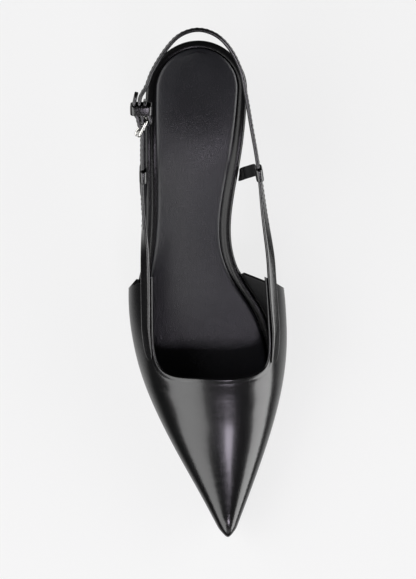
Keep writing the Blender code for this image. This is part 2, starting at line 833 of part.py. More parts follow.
def make_buckle_frame(material, buckle):
    bar = buckle.at(buckle.bar_x, buckle.bar_along)
    rod = buckle.at(buckle.rod_x, buckle.rod_along)
    middle = (bar + rod) / 2
    side = (rod - bar) / 2
    length = side.length
    side.normalize()
    half = FRAME_HEIGHT / 2
    corners = ((1, 1), (-1, 1), (-1, -1), (1, -1))
    path = []
    for turn, (s, u) in enumerate(corners):
        centre_s = s * (length - FRAME_CORNER)
        centre_u = u * (half - FRAME_CORNER)
        for i in range(6):
            angle = (turn + i / 5) * math.pi / 2
            along = centre_s + FRAME_CORNER * math.cos(angle)
            up = centre_u + FRAME_CORNER * math.sin(angle)
            path.append(middle + side * along + buckle.up * up)
    return ring_piece("buckle_frame", path, WIRE, 8, material)


def hook_path(centre, up, out, start_points, side_step, turn_first):
    """Path of a tab that hooks round a strap: along one face, over its edge, down the other."""
    reach = STRAP_WIDTH / 2
    path = list(start_points)
    for share in (-0.8, 0.0, 0.8):
        path.append(centre - out * side_step * turn_first + up * reach * share)
    for i in range(1, 6):
        angle = i / 6 * math.pi
        path.append(centre - out * side_step * turn_first * math.cos(angle)
                    + up * (reach + side_step * math.sin(angle)))
    for share in (0.8, 0.0, -0.8):
        path.append(centre + out * side_step * turn_first + up * reach * share)
    for angle in (0.25, 0.5, 0.62):
        turn = angle * math.pi
        path.append(centre + out * side_step * turn_first * math.cos(turn)
                    - up * (reach + side_step * math.sin(turn)))
    return path


def make_side_band(name, side, wing_end, material):
    """Short tab from the footbed's edge to the strap, hooked round the strap."""
    rows = INNER_STRAP if side > 0 else OUTER_STRAP
    strap_across = spline(rows["along"][::-1], rows["across"][::-1])
    along = INNER_BAND_ALONG if side > 0 else OUTER_BAND_ALONG
    foot_along = along if side > 0 else along + BAND_SLANT
    ahead = along + BAND_WIDTH / 2
    centre, there = [place(strap_across(a / LAST_LENGTH) * BALL_WIDTH, a,
                           strap_height(a, wing_end)) for a in (along, ahead)]
    run = (there - centre).normalized()
    up = Vector((0.0, 0.0, 1.0))
    up = (up - run * up.dot(run)).normalized()
    out = run.cross(up).normalized()
    if out.x * side < 0:
        out.negate()
    step = STRAP / 2 + GAP * 2 + BAND / 2
    edge = footbed_side(foot_along, side) + side * (GAP * 2.5 + BAND / 2)
    low = top_of_footbed(foot_along) - BOARD
    foot = [place(edge, foot_along, low - BAND_FOOT), place(edge, foot_along, low + BOARD * 0.8)]
    turn_first = 1 if side > 0 else -1
    knee = centre - out * step * turn_first - up * STRAP_WIDTH * 0.9
    arch = [foot[1].lerp(knee, share) + Vector((-side * x, 0.0, z)) * BAND * turn_first
            for share, x, z in ((0.35, 0.67, 1.0), (0.70, 0.5, 0.5))]
    path = hook_path(centre, up, out, foot + arch + [knee], step, turn_first)
    line = smooth_path(path, BAND * 0.92)
    half = BAND_WIDTH / 2
    fore = place(footbed_side(foot_along + half, side), foot_along + half,
                 top_of_footbed(foot_along + half))
    aft = place(footbed_side(foot_along - half, side), foot_along - half,
                top_of_footbed(foot_along - half))
    rim = (aft - fore).normalized()
    if rim.dot(run) < 0:
        rim.negate()
    ups = []
    for p in line:
        share = min(1.0, max(0.0, (p.z - foot[1].z) / (knee.z - foot[1].z)))
        ups.append(rim.lerp(run, share))
    return band_piece(name, line, ups, BAND_WIDTH, BAND, material)


def make_strap_loop(material, buckle):
    """Keeper round the sling strap, its folded end and the free tail."""
    reach = [KEEPER_BACK + KEEPER_WIDTH / 2 * s for s in (-1, 0, 1)]
    bows = [bow_out(b / TAIL) * STRAP for b in reach]
    inner = max(buckle.folded_x(b) - bow for b, bow in zip(reach, bows)) + STRAP / 2
    outer = buckle.tail_x - GAP - max(bows) - STRAP / 2
    clear = GAP * 2 + BAND / 2
    half_x = (inner - outer) / 2 + clear
    half_u = STRAP_WIDTH / 2 + clear
    middle = buckle.at((inner + outer) / 2, buckle.bar_along - KEEPER_BACK)
    path = []
    for turn, (s, u) in enumerate(((1, 1), (-1, 1), (-1, -1), (1, -1))):
        for i in range(4):
            angle = (turn + i / 3) * math.pi / 2
            x = s * (half_x - KEEPER_CORNER) + KEEPER_CORNER * math.cos(angle)
            up = u * (half_u - KEEPER_CORNER) + KEEPER_CORNER * math.sin(angle)
            path.append(middle + Vector((x, 0.0, 0.0)) + buckle.up * up)
    half = KEEPER_WIDTH / 2
    count = len(path)
    points = []
    for i, p in enumerate(path):
        run = (path[(i + 1) % count] - path[i - 1]).normalized()
        out = run.cross(buckle.back).normalized()
        if out.dot(p - middle) < 0:
            out.negate()
        for b, t in ((-half, -BAND / 2), (half, -BAND / 2), (half, BAND / 2), (-half, BAND / 2)):
            points.append(p + buckle.back * b + out * t)
    faces = []
    for i in range(count):
        j = (i + 1) % count
        for k in range(4):
            n = (k + 1) % 4
            faces.append((i * 4 + k, i * 4 + n, j * 4 + n, j * 4 + k))
    return add_piece("strap_loop", points, faces, material)


def tube_piece(name, path, radius, sides, material, plane):
    count = len(path)
    points = []
    for i in range(count):
        run = (path[min(i + 1, count - 1)] - path[max(i - 1, 0)]).normalized()
        out = run.cross(plane).normalized()
        for k in range(sides):
            angle = 2 * math.pi * k / sides
            points.append(path[i] + out * math.cos(angle) * radius + plane * math.sin(angle) * radius)
    faces = []
    for i in range(count - 1):
        for k in range(sides):
            n = (k + 1) % sides
            faces.append((i * sides + k, i * sides + n, (i + 1) * sides + n, (i + 1) * sides + k))
    faces.append(tuple(range(sides))[::-1])
    faces.append(tuple((count - 1) * sides + k for k in range(sides)))
    return add_piece(name, points, faces, material)


def make_buckle_prong(material, buckle):
    """Pin that hooks round the bar, pierces the strap and rests on the front rod."""
    hook = WIRE + GAP * 0.7 + PRONG
    path = []
    for i in range(9):
        angle = math.radians(-160 + i * 35)
        x = buckle.bar_x + hook * math.cos(angle)
        path.append(buckle.at(x, buckle.bar_along + hook * math.sin(angle) * 0.92))
    rest_x = buckle.rod_x - hook
    start_x = buckle.bar_x - hook / 2
    way = ((0.22, 0.275), (0.50, 0.51), (0.80, 0.70), (0.97, 0.88), (1.0, 1.03), (0.96, 1.16))
    for share, reach in way:
        path.append(buckle.at(start_x + (rest_x - start_x) * share, buckle.between(reach)))
    line = smooth_path(path, PRONG * 1.2)
    return tube_piece("buckle_prong", line, PRONG, 6, material, buckle.up)


def cut(piece, cutter):
    modifier = piece.modifiers.new("cut", "BOOLEAN")
    modifier.operation = "DIFFERENCE"
    modifier.solver = "EXACT"
    modifier.object = cutter
    cutter.hide_render = True
    cutter.display_type = "WIRE"


def block(name, centre, axes, sizes):
    """Box cutter round a centre, with its own axes."""
    points = []
    for a in (-1, 1):
        for b in (-1, 1):
            for c in (-1, 1):
                corner = centre.copy()
                for axis, size, sign in zip(axes, sizes, (a, b, c)):
                    corner += axis * (size / 2 * sign)
                points.append(corner)
    faces = [(0, 1, 3, 2), (4, 6, 7, 5), (0, 4, 5, 1), (2, 3, 7, 6), (0, 2, 6, 4), (1, 5, 7, 3)]
    return add_piece(name, points, faces, bpy.data.materials["wrapped_leather"], smooth=False)


def main():
    clear_scene()
    gloss = finish_material("gloss_leather", (0.012, 0.012, 0.014), 0.22)
    wrapped = finish_material("wrapped_leather", (0.012, 0.012, 0.013), 0.30)
    soft = finish_material("sock_leather", (0.045, 0.046, 0.050), 0.62)
    sole = finish_material("sole_leather", (0.020, 0.019, 0.018), 0.55)
    lift = finish_material("lift_rubber", (0.015, 0.015, 0.015), 0.60)
    metal = finish_material("buckle_steel", (0.75, 0.75, 0.76), 0.16, 1.0)

    make_outsole(sole)
    make_insole_board(wrapped)
    make_sock(soft)
    make_upper(gloss)
    make_heel(wrapped)
    make_heel_tip(lift)

    outer_wing, outer_ups = wing_strap(-1)
    inner_wing, _ = wing_strap(1)
    buckle = Buckle(outer_wing[-1])
    sling = make_strap_sling(gloss, inner_wing[-1], buckle)
    strap = make_strap_lateral(gloss, outer_wing, outer_ups, buckle)
    make_side_band("side_band_medial", 1, inner_wing[-1], gloss)
    make_side_band("side_band_lateral", -1, outer_wing[-1], gloss)
    make_buckle_frame(metal, buckle)
    make_buckle_prong(metal, buckle)
    make_strap_loop(gloss, buckle)

    level = Vector((1.0, 0.0, 0.0))
    axes = (level, buckle.back, buckle.up)
    slot_at = buckle.at(buckle.bar_x - GAP, buckle.bar_along + WIRE)
    slot = block("prong_slot", slot_at, axes, ((buckle.fold + STRAP) * 2, SLOT_LENGTH, HOLE_WIDTH))
    cut(sling, slot)
    hole_at = buckle.at((buckle.strap_x + buckle.tail_x) / 2, buckle.between(0.55))
    hole = block("strap_hole", hole_at, axes, (STRAP * 3, HOLE_LENGTH, HOLE_WIDTH))
    cut(strap, hole)


main()
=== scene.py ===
from math import copysign, cos, pi, radians, sin

import bmesh
import bpy
import numpy as np
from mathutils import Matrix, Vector


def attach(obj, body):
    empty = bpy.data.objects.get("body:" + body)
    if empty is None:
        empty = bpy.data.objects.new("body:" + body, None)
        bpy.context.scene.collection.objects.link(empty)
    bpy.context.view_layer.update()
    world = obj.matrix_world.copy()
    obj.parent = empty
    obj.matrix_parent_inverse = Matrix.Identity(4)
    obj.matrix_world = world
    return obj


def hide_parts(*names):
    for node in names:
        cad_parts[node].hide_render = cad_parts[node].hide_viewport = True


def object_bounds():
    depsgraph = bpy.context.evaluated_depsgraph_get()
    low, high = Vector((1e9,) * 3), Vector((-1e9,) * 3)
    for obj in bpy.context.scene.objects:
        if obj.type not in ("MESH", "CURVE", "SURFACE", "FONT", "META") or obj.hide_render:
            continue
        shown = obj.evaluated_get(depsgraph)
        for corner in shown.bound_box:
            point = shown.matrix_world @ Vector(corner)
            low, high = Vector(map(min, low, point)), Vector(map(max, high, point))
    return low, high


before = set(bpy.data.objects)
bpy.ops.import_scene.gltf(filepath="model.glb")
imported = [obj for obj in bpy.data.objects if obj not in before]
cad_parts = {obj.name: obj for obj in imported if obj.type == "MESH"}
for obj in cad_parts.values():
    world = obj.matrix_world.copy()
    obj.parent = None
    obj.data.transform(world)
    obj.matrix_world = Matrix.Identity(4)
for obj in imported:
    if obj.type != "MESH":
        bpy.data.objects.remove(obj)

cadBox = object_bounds()
print("frame loaded:", len(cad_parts), "nodes")

# The last, in the sizes that the frame was built with
last = {
    "length": 0.24, "ballWidth": 0.078, "heelHeight": 0.061, "instep": 0.0335,
    "toeSpring": 0.006, "springStart": 0.78, "backCurve": 0.024, "toeCurve": 0.0055,
    "setback": 0.017, "wall": 0.0015, "board": 0.0025, "sole": 0.003, "gap": 0.0003,
    "toeAllowance": 0.0033, "noseDepth": 0.01, "power": 2.15, "ridge": 0.54,
    "wingFoot": 0.469, "wingBulge": 0.491, "wingCurve": 1.55, "throatCorner": 0.2,
    "cornerEase": 0.0095, "cornerReach": 0.06, "leastLean": 25}
lastLength, ballWidth, gap, board = [last[k] for k in ("length", "ballWidth", "gap", "board")]
ballLevel = last["sole"] + gap + board
upperLength = lastLength + last["toeAllowance"]

footbedRows = {
    "along": (0, 0.11, 0.23, 0.33, 0.41, 0.48, 0.54, 0.6, 0.67, 0.75, 0.85, 0.93, 1),
    "outer": (-0.301, -0.326, -0.334, -0.333, -0.346, -0.371, -0.382, -0.364, -0.318, -0.227,
              -0.077, 0.058, 0.163),
    "inner": (0.301, 0.301, 0.266, 0.214, 0.21, 0.284, 0.4, 0.472, 0.49, 0.446, 0.36, 0.278, 0.21)}
archRows = {
    "along": (0, 0.104, 0.208, 0.333, 0.458, 0.583, 0.667, 0.73, 0.8, 1),
    "lift": (1, 0.982, 0.9, 0.656, 0.366, 0.121, 0.018, -0.006, -0.006, -0.006)}
sockRows = {
    "along": (0, 0.25, 0.4, 0.52, 0.7, 1),
    "outer": (0.93, 1.4, 1.36, 1.1, 1, 1),
    "inner": (0.93, 1.3, 1.35, 1.3, 1, 1)}
widestRows = {
    "along": (0.46, 0.5, 0.54, 0.6, 0.66, 0.74, 0.84, 0.92, 1),
    "outer": (-0.437, -0.442, -0.44, -0.417, -0.373, -0.277, -0.118, 0.022, 0.1546),
    "inner": (0.523, 0.542, 0.554, 0.5615, 0.549, 0.501, 0.406, 0.315, 0.2187)}
sectionRows = {
    "along": (0.46, 0.5, 0.54, 0.6, 0.66, 0.74, 0.84, 0.92, 1),
    "swell": (0.343, 0.328, 0.293, 0.239, 0.209, 0.185, 0.155, 0.125, 0.085),
    "crown": (0.672, 0.68, 0.704, 0.764, 0.794, 0.626, 0.425, 0.285, 0.15)}
toplineRows = {
    "way": (0, 0.07, 0.13, 0.175, 0.23, 0.34, 0.5, 0.66, 0.77, 0.83, 0.875, 0.93, 1),
    "across": (-0.297, -0.298, -0.292, -0.263, -0.195, -0.05, 0.125, 0.29, 0.385, 0.435,
               0.456, 0.447, 0.426),
    "along": (0.4706, 0.545, 0.612, 0.648, 0.668, 0.675, 0.678, 0.674, 0.664, 0.648, 0.618,
              0.552, 0.4706)}


def smoothCurve(xs, ys):
    # natural cubic through a few rows, straight past its ends; takes numbers or arrays
    xs, ys = np.array(xs, float), np.array(ys, float)
    steps, slopes = np.diff(xs), np.diff(ys) / np.diff(xs)
    system, right = np.eye(len(xs)), np.zeros(len(xs))
    for i in range(1, len(xs) - 1):
        system[i, i - 1:i + 2] = steps[i - 1], 2 * (steps[i - 1] + steps[i]), steps[i]
        right[i] = 6 * (slopes[i] - slopes[i - 1])
    bends = np.linalg.solve(system, right)
    first = slopes[0] - steps[0] * bends[1] / 6
    final = slopes[-1] + steps[-1] * bends[-2] / 6

    def value(x):
        near = np.clip(x, xs[0], xs[-1])
        i = np.clip(np.searchsorted(xs, near) - 1, 0, len(xs) - 2)
        a = (xs[i + 1] - near) / steps[i]
        b = 1 - a
        bend = (a ** 3 - a) * bends[i] + (b ** 3 - b) * bends[i + 1]
        return (a * ys[i] + b * ys[i + 1] + bend * steps[i] ** 2 / 6
                + first * np.minimum(0, x - xs[0]) + final * np.maximum(0, x - xs[-1]))

    return value


def curves(rows):
    # a curve for each row of a table after its first one
    ways, *columns = rows.values()
    return [smoothCurve(ways, column) for column in columns]


footbedOuter, footbedInner = curves(footbedRows)
archLift, = curves(archRows)
sockOuter, sockInner = curves(sockRows)
widestOuter, widestInner = curves(widestRows)
sectionSwell, sectionCrown = curves(sectionRows)
toplineAcross, toplineAlong = curves(toplineRows)


def ease(share):
    return share * share * (3 - 2 * share)


def turnsOf(sides):
    return np.arange(sides) / sides * 2 * pi


def unit(v):
    return v / np.linalg.norm(v, axis=-1, keepdims=True)


def mix(a, b, share):
    return a + (b - a) * share


def place(across, along, height):
    # across, along and height to the frame's own axes
    across, along, height = np.broadcast_arrays(across, along, height)
    return np.stack([across, last["setback"] - along, height], axis=-1)


def roundEnd(distance, depth):
    inside = np.clip(np.asarray(distance, float) / depth, 0, 1)
    return np.sqrt(np.maximum(0, 1 - (1 - inside) ** 2))


def footbedTop(along):
    share = along / lastLength
    spring = np.maximum(0, share - last["springStart"]) / (1 - last["springStart"])
    return (ballLevel + (last["heelHeight"] - ballLevel) * archLift(share)
            + last["toeSpring"] * spring ** 2)


def towardsSide(outer, inner, side, share):
    # from the middle of two sides towards one of them
    return mix((outer + inner) / 2, inner if side > 0 else outer, share)


def boardSide(along, side, margin=0, back=0, tip=lastLength):
    # edge of the footbed, or of a sheet that keeps a margin inside it
    share = along / lastLength
    outer = footbedOuter(share) * ballWidth + margin * sockOuter(share)
    inner = footbedInner(share) * ballWidth - margin * sockInner(share)
    ends = (roundEnd(along - back, last["backCurve"] - back) * roundEnd(tip - along, last["toeCurve"]))
    return towardsSide(outer, inner, side, ends)


stationSet = {"spacing": 0.0024, "backSteps": 22, "tipSteps": 16}


def alongStations(start, tip, roundBack=True, spacing=stationSet["spacing"]):
    # closer together where an end is round
    places, begin = [], start
    if roundBack:
        steps = stationSet["backSteps"]
        angles = np.arange(1, steps) / steps * pi / 2
        places += list(start + (last["backCurve"] - start) * (1 - np.cos(angles)))
        begin = last["backCurve"]
    span = tip - last["toeCurve"] - begin
    places += list(begin + span * np.linspace(0, 1, round(span / spacing) + 1))
    angles = np.arange(1, stationSet["tipSteps"]) / stationSet["tipSteps"] * pi / 2
    places += list(tip - last["toeCurve"] + last["toeCurve"] * np.sin(angles))
    return np.array(places)


def bothSides(sideFunction, rows):
    return [np.stack([sideFunction(rows, side), rows], 1) for side in (-1, 1)]


def boardLoop(start, tip, margin=0, roundBack=True):
    # outer side, tip, inner side, as (across, along)
    rows = alongStations(start, tip, roundBack)
    back = start if roundBack else 0
    outer, inner = bothSides(lambda a, side: boardSide(a, side, margin, back, tip), rows)
    middle = boardSide(np.array([tip]), 1, margin, 0, tip)
    parts = [outer, np.array([[middle[0], tip]]), inner[::-1]]
    if roundBack:
        parts.insert(0, np.array([[0, start]]))
    return np.concatenate(parts)


def runsOf(points, closed=True):
    # from the point before to the point after each one
    ahead, behind = np.roll(points, -1, axis=0), np.roll(points, 1, axis=0)
    if not closed:
        ahead[-1], behind[0] = points[-1], points[0]
    return ahead - behind


def grow(loop, amount, closed=True):
    # outwards by one amount, or by one for each point
    normals = unit(runsOf(loop, closed)[:, ::-1] * (-1, 1))
    return loop + normals * np.reshape(amount, (-1, 1))


def shrinkShare(loop, reach=0.009):
    # insets fade where the sheet is narrow, so that its rings never cross
    count = len(loop)
    other = loop[(-np.arange(count)) % count] if count % 2 == 0 else loop[::-1]
    width = np.linalg.norm(loop - other, axis=1)
    fromBack = loop[:, 1] - loop[:, 1].min()
    share = np.minimum(1, width / 2 / reach)
    return np.where(fromBack < last["backCurve"], 1, share)


def wayAlong(points):
    # length walked from the first point to each of them
    steps = np.linalg.norm(np.diff(points, axis=0), axis=1)
    return np.concatenate(([0], np.cumsum(steps)))


def pointsAt(points, way, places):
    return np.stack([np.interp(places, way, points[:, k]) for k in range(points.shape[1])], 1)


def resample(points, positions):
    points = np.asarray(points, float)
    way = wayAlong(points)
    return pointsAt(points, way / way[-1], positions)


# Meshes
def addObject(name, data):
    thing = bpy.data.objects.new(name, data)
    bpy.context.scene.collection.objects.link(thing)
    return thing


def makePiece(name, points, faces, materials, faceSlots=None):
    mesh = bpy.data.meshes.new(name)
    mesh.from_pydata([tuple(map(float, p)) for p in points], [], faces)
    for material in materials:
        mesh.materials.append(material)
    if faceSlots is not None:
        mesh.polygons.foreach_set("material_index", np.array(faceSlots, dtype=np.int32))
    work = bmesh.new()
    work.from_mesh(mesh)
    bmesh.ops.recalc_face_normals(work, faces=work.faces)
    work.to_mesh(mesh)
    work.free()
    mesh.shade_smooth()
    return addObject(name, mesh)


def settle(piece, node=None):
    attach(piece, "root")
    if node:
        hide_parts(node)


def softenEdges(piece, width, angle):
    bevel = piece.modifiers.new("softEdges", "BEVEL")
    bevel.width, bevel.segments, bevel.limit_method = width, 3, "ANGLE"
    bevel.angle_limit = radians(angle)


def tubeFaces(ringCount, sides, closed=False, start=0):
    faces = []
    for i in range(ringCount if closed else ringCount - 1):
        j = (i + 1) % ringCount
        for k in range(sides):
            n = (k + 1) % sides
            faces.append((start + i * sides + k, start + i * sides + n,
                          start + j * sides + n, start + j * sides + k))
    return faces


def cappedTube(ringCount, sides, start=0):
    final = start + (ringCount - 1) * sides
    return tubeFaces(ringCount, sides, start=start) + [tuple(range(start, start + sides))[::-1],
                                                       tuple(range(final, final + sides))]


def ringRound(centre, first, second, u, v):
    # points round a centre, u along one axis and v along another
    return centre + first * u[:, None] + second * v[:, None]


# Finishes
def feed(tree, node, inputs):
    # each input gets a plain value or another node's output
    for key, value in inputs.items():
        if isinstance(value, bpy.types.NodeSocket):
            tree.links.new(value, node.inputs[key])
        else:
            node.inputs[key].default_value = value
    return node


def addNode(tree, kind, inputs):
    return feed(tree, tree.nodes.new("ShaderNode" + kind), inputs)


def noiseFac(tree, where, scale, detail=2):
    return addNode(tree, "TexNoise", {"Vector": where, "Scale": scale,
                                      "Detail": detail}).outputs["Fac"]


def toneRamp(tree, fac, first, final, *others):
    # colour ramp through (place, colour) stops
    ramp = addNode(tree, "ValToRGB", {"Fac": fac})
    stops = ramp.color_ramp.elements
    for i, (at, colour) in enumerate((first, final)):
        stops[i].position = at
        stops[i].color = (*colour, 1)
    for at, colour in others:
        stops.new(at).color = (*colour, 1)
    return ramp.outputs["Color"]


def newFinish(name):
    material = bpy.data.materials.new(name)
    material.use_nodes = True
    tree = material.node_tree
    where = addNode(tree, "TexCoord", {}).outputs["Object"]
    return material, tree, tree.nodes["Principled BSDF"], where


plainLook = {
    "coat": 0, "coatRoughness": 0.1, "specular": 0.5, "cloudScale": 45,
    "uneven": 0.03, "ripple": 0, "rippleScale": 430}
hideSet = {
    "toneFrom": 0.3, "toneTo": 0.75, "poreWarp": 0.0011, "poreEdge": 0.18,
    "rippleDepth": 0.0004, "poreDepth": 0.00012, "napDepth": 0.00006, "nap": 0.6}


def leatherFinish(name, look):
    look = {**plainLook, **look}
    material, tree, shader, where = newFinish(name)
    cloud = noiseFac(tree, where, look["cloudScale"], 4)   # slow change of tone and polish; on the sock the lighter clouds are painted soft highlights as well as uneven tone
    polish = addNode(tree, "MapRange", {"Value": cloud,
                                        "To Min": look["roughness"] - look["uneven"],
                                        "To Max": look["roughness"] + look["uneven"]})
    warp = addNode(tree, "TexNoise", {"Vector": where, "Scale": look["grainScale"] * 0.35})
    bent = addNode(tree, "VectorMath", {})
    bent.operation = "MULTIPLY_ADD"
    feed(tree, bent, {0: warp.outputs["Color"], 1: (hideSet["poreWarp"],) * 3, 2: where})
    pores = addNode(tree, "TexVoronoi", {"Vector": bent.outputs["Vector"],
                                         "Scale": look["grainScale"]})
    pores.feature = "DISTANCE_TO_EDGE"
    cells = addNode(tree, "MapRange", {"Value": pores.outputs["Distance"],
                                       "From Max": hideSet["poreEdge"]})
    stretch = addNode(tree, "Mapping", {"Vector": where, "Scale": (0.4, 1, 0.4)})
    ripple = noiseFac(tree, stretch.outputs["Vector"], look["rippleScale"])   # across the foot
    fine = noiseFac(tree, where, look["grainScale"] * 2.3, 3)
    normal = None
    for height, strength, depth in (
            (ripple, look["ripple"], hideSet["rippleDepth"]),
            (cells.outputs["Result"], look["grain"], hideSet["poreDepth"]),
            (fine, look["grain"] * hideSet["nap"], hideSet["napDepth"])):
        bump = addNode(tree, "Bump", {"Height": height, "Strength": strength, "Distance": depth})
        if normal:
            tree.links.new(normal, bump.inputs["Normal"])
        normal = bump.outputs["Normal"]
    feed(tree, shader, {
        "Base Color": toneRamp(tree, cloud, (hideSet["toneFrom"], look["tones"][0]),
                               (hideSet["toneTo"], look["tones"][1])),
        "Roughness": polish.outputs["Result"], "Normal": normal, "Coat Weight": look["coat"],
        "Coat Roughness": look["coatRoughness"], "Specular IOR Level": look["specular"]})
    return material


def metalFinish(name, look):
    material, tree, shader, where = newFinish(name)
    rub = addNode(tree, "MapRange", {"Value": noiseFac(tree, where, look["rubScale"], 5),
                                     "To Min": look["roughness"] * 0.6,
                                     "To Max": look["roughness"] * 1.5})
    feed(tree, shader, {"Metallic": 1, "Base Color": (*look["colour"], 1),
                        "Roughness": rub.outputs["Result"]})
    return material


glossLeather = leatherFinish("glossLeather", {
    "tones": ((0.001, 0.001, 0.0012), (0.002, 0.002, 0.0023)), "roughness": 0.23,
    "coat": 0.5, "coatRoughness": 0.14, "grainScale": 1500, "grain": 0.08,
    "cloudScale": 38, "ripple": 0.22})
liningLeather = leatherFinish("liningLeather", {
    "tones": ((0.0022, 0.0022, 0.0024), (0.0045, 0.0045, 0.005)), "roughness": 0.5,
    "grainScale": 1200, "grain": 0.3, "specular": 0.25})
wrapLeather = leatherFinish("wrapLeather", {
    "tones": ((0.001, 0.001, 0.0012), (0.0022, 0.0022, 0.0025)), "roughness": 0.26,
    "uneven": 0.04, "coat": 0.1, "coatRoughness": 0.12, "grainScale": 1600, "grain": 0.15,
    "specular": 0.32})
# the sock's lighter bluish clouds are partly its own uneven tone and partly painted soft highlights
sockLeather = leatherFinish("sockLeather", {
    "tones": ((0.005, 0.005, 0.0068), (0.017, 0.017, 0.0215)), "roughness": 0.35,
    "uneven": 0.09, "grainScale": 1300, "grain": 0.3, "cloudScale": 17, "specular": 0.58,
    "ripple": 0.25, "rippleScale": 110})
soleLeather = leatherFinish("soleLeather", {
    "tones": ((0.012, 0.011, 0.01), (0.024, 0.022, 0.02)), "roughness": 0.5,
    "uneven": 0.08, "grainScale": 900, "grain": 0.3})
edgePaint = leatherFinish("edgePaint", {
    "tones": ((0.008,) * 3, (0.014,) * 3), "roughness": 0.38, "grainScale": 2200,
    "grain": 0.3})
blackThread = leatherFinish("blackThread", {
    "tones": ((0.003,) * 3, (0.006,) * 3), "roughness": 0.7, "grainScale": 5200,
    "grain": 0.5, "specular": 0.12})
liftRubber = leatherFinish("liftRubber", {
    "tones": ((0.01,) * 3, (0.018,) * 3), "roughness": 0.6, "grainScale": 2400,
    "grain": 0.4})
buckleSilver = metalFinish("buckleSilver", {
    "colour": (0.66, 0.65, 0.62), "roughness": 0.1, "rubScale": 900})
print("finishes made")


# Upper: ribs from the feather edge, over the widest line, to the topline
upperSet = {
    "columns": 300, "lowerRows": 44, "tuckSteps": 10, "crownSteps": 64,
    "edgeRows": (0.006, 0.0046, 0.0034, 0.0026, 0.0022, 0.0018, 0.0014, 0.001, 0.0006, 0.0003, 0),
    "rollAngles": (25, 50, 75, 105, 130, 155), "rollHeight": 0.8, "bevel": 0.00035,
    "seamDepth": 0.00006, "seamAt": 0.0018, "seamWidth": 0.0006,
    "creases": ((0.7, 0.012, 1), (0.735, 0.014, -0.6), (0.64, 0.01, 0.5)),
    "creaseDepth": 0.00022, "creaseFrom": 0.01, "creaseRise": 0.014,
    "creaseWave": 0.0016}


def widestSide(along, side):
    share = along / upperLength
    return towardsSide(widestOuter(share) * ballWidth, widestInner(share) * ballWidth, side,
                       roundEnd(upperLength - along, last["toeCurve"]))


def planCurve(sideFunction, start, tip):
    # outer side to the tip and back along the inner one, closer together at the tip
    rows = start + (tip - start) * np.sin(np.linspace(0, 1, 500) * pi / 2)
    outer, inner = bothSides(sideFunction, rows)
    return np.concatenate([outer, inner[-2::-1]])


def fromRidge(across, along):
    # how far a place lies from the vamp's ridge, and how far the widest line does there
    outer, inner = widestSide(along, -1), widestSide(along, 1)
    middle = outer + (inner - outer) * last["ridge"]
    return np.abs(across - middle), np.where(across > middle, inner - middle, middle - outer)


def waistline(along):
    return footbedTop(along) + sectionSwell(along / upperLength) * last["instep"]


def vampHeight(across, along):
    off, reach = fromRidge(across, along)
    off = np.minimum(1, off / np.maximum(reach, 1e-7))
    crown = sectionCrown(along / upperLength) * last["instep"]
    crown = crown * roundEnd(upperLength - along, last["noseDepth"])
    return waistline(along) + crown * (1 - off ** last["power"]) ** (1 / last["power"])


def ribGrid(ways):
    footbed = planCurve(boardSide, last["wingFoot"] * lastLength, lastLength)
    # the outer wing's lower corner is eased forward
    eased = ways + last["cornerEase"] * np.exp(-(ways / last["cornerReach"]) ** 2)
    feather = resample(grow(footbed, gap + last["wall"], closed=False), eased)
    widest = resample(planCurve(widestSide, last["wingBulge"] * upperLength, upperLength), ways)
    fx, fa, wx, wa = feather[:, 0], feather[:, 1], widest[:, 0], widest[:, 1]
    tx, ta = toplineAcross(ways) * ballWidth, toplineAlong(ways) * upperLength
    low, rise = footbedTop(fa), waistline(wa)
    rows = [place(fx, fa, low - board * share) for share in (1, 0.5, 0)]
    for share in np.linspace(0, 1, upperSet["tuckSteps"] + 1)[1:]:
        left = (1 - share) ** 2
        rows.append(place(mix(wx, fx, left), mix(wa, fa, left), mix(low, rise, share)))
    off, reach = fromRidge(tx, ta)
    lean = np.arccos(np.minimum(1, (off / reach) ** (last["power"] / 2)))
    lean = np.maximum(lean, radians(last["leastLean"]))
    # the wings' sides stand steeper than the vamp
    wing = ease(np.clip(2 - 2 * np.minimum(ways, 1 - ways) / last["throatCorner"], 0, 1))
    topHeight = vampHeight(tx, ta)
    for share in np.linspace(0, 1, upperSet["crownSteps"] + 1)[1:]:
        way = (1 - np.cos(lean * share)) / (1 - np.cos(lean))
        height = vampHeight(mix(wx, tx, way), mix(wa, ta, way))
        way = mix(way, share ** last["wingCurve"], wing)
        height = mix(height, mix(rise, topHeight, share), wing)
        rows.append(place(mix(wx, tx, way), mix(wa, ta, way), height))
    return np.stack(rows, axis=1)


def fromTop(line):
    # a rib again, with rows at set distances under its top and even ones below them
    way, edge = wayAlong(line), np.array(upperSet["edgeRows"])
    low = np.linspace(0, way[-1] - edge[0], upperSet["lowerRows"], endpoint=False)
    return pointsAt(line, way, np.concatenate([low, way[-1] - edge]))


def dressSurface(grid, normals):
    # sunk seam along the edge and soft flex lines over the ball
    keep = upperSet
    under = np.array([1] * keep["lowerRows"] + list(keep["edgeRows"]))
    seam = np.exp(-((under - keep["seamAt"]) / keep["seamWidth"]) ** 2) * keep["seamDepth"]
    shift = -np.broadcast_to(seam, grid.shape[:2]).copy()
    along = last["setback"] - grid[:, :, 1]
    over = (grid[:, :, 2] - footbedTop(along) - keep["creaseFrom"]) / keep["creaseRise"]
    over = np.clip(over, 0, 1) ** 2
    for at, width, force in keep["creases"]:
        wave = np.sin(grid[:, :, 0] * 95 + at * 40) * keep["creaseWave"]
        off = (along - at * upperLength + wave) / (width / 2)
        shift -= np.exp(-off ** 2) * keep["creaseDepth"] * force * over
    return grid + normals * shift[:, :, None]


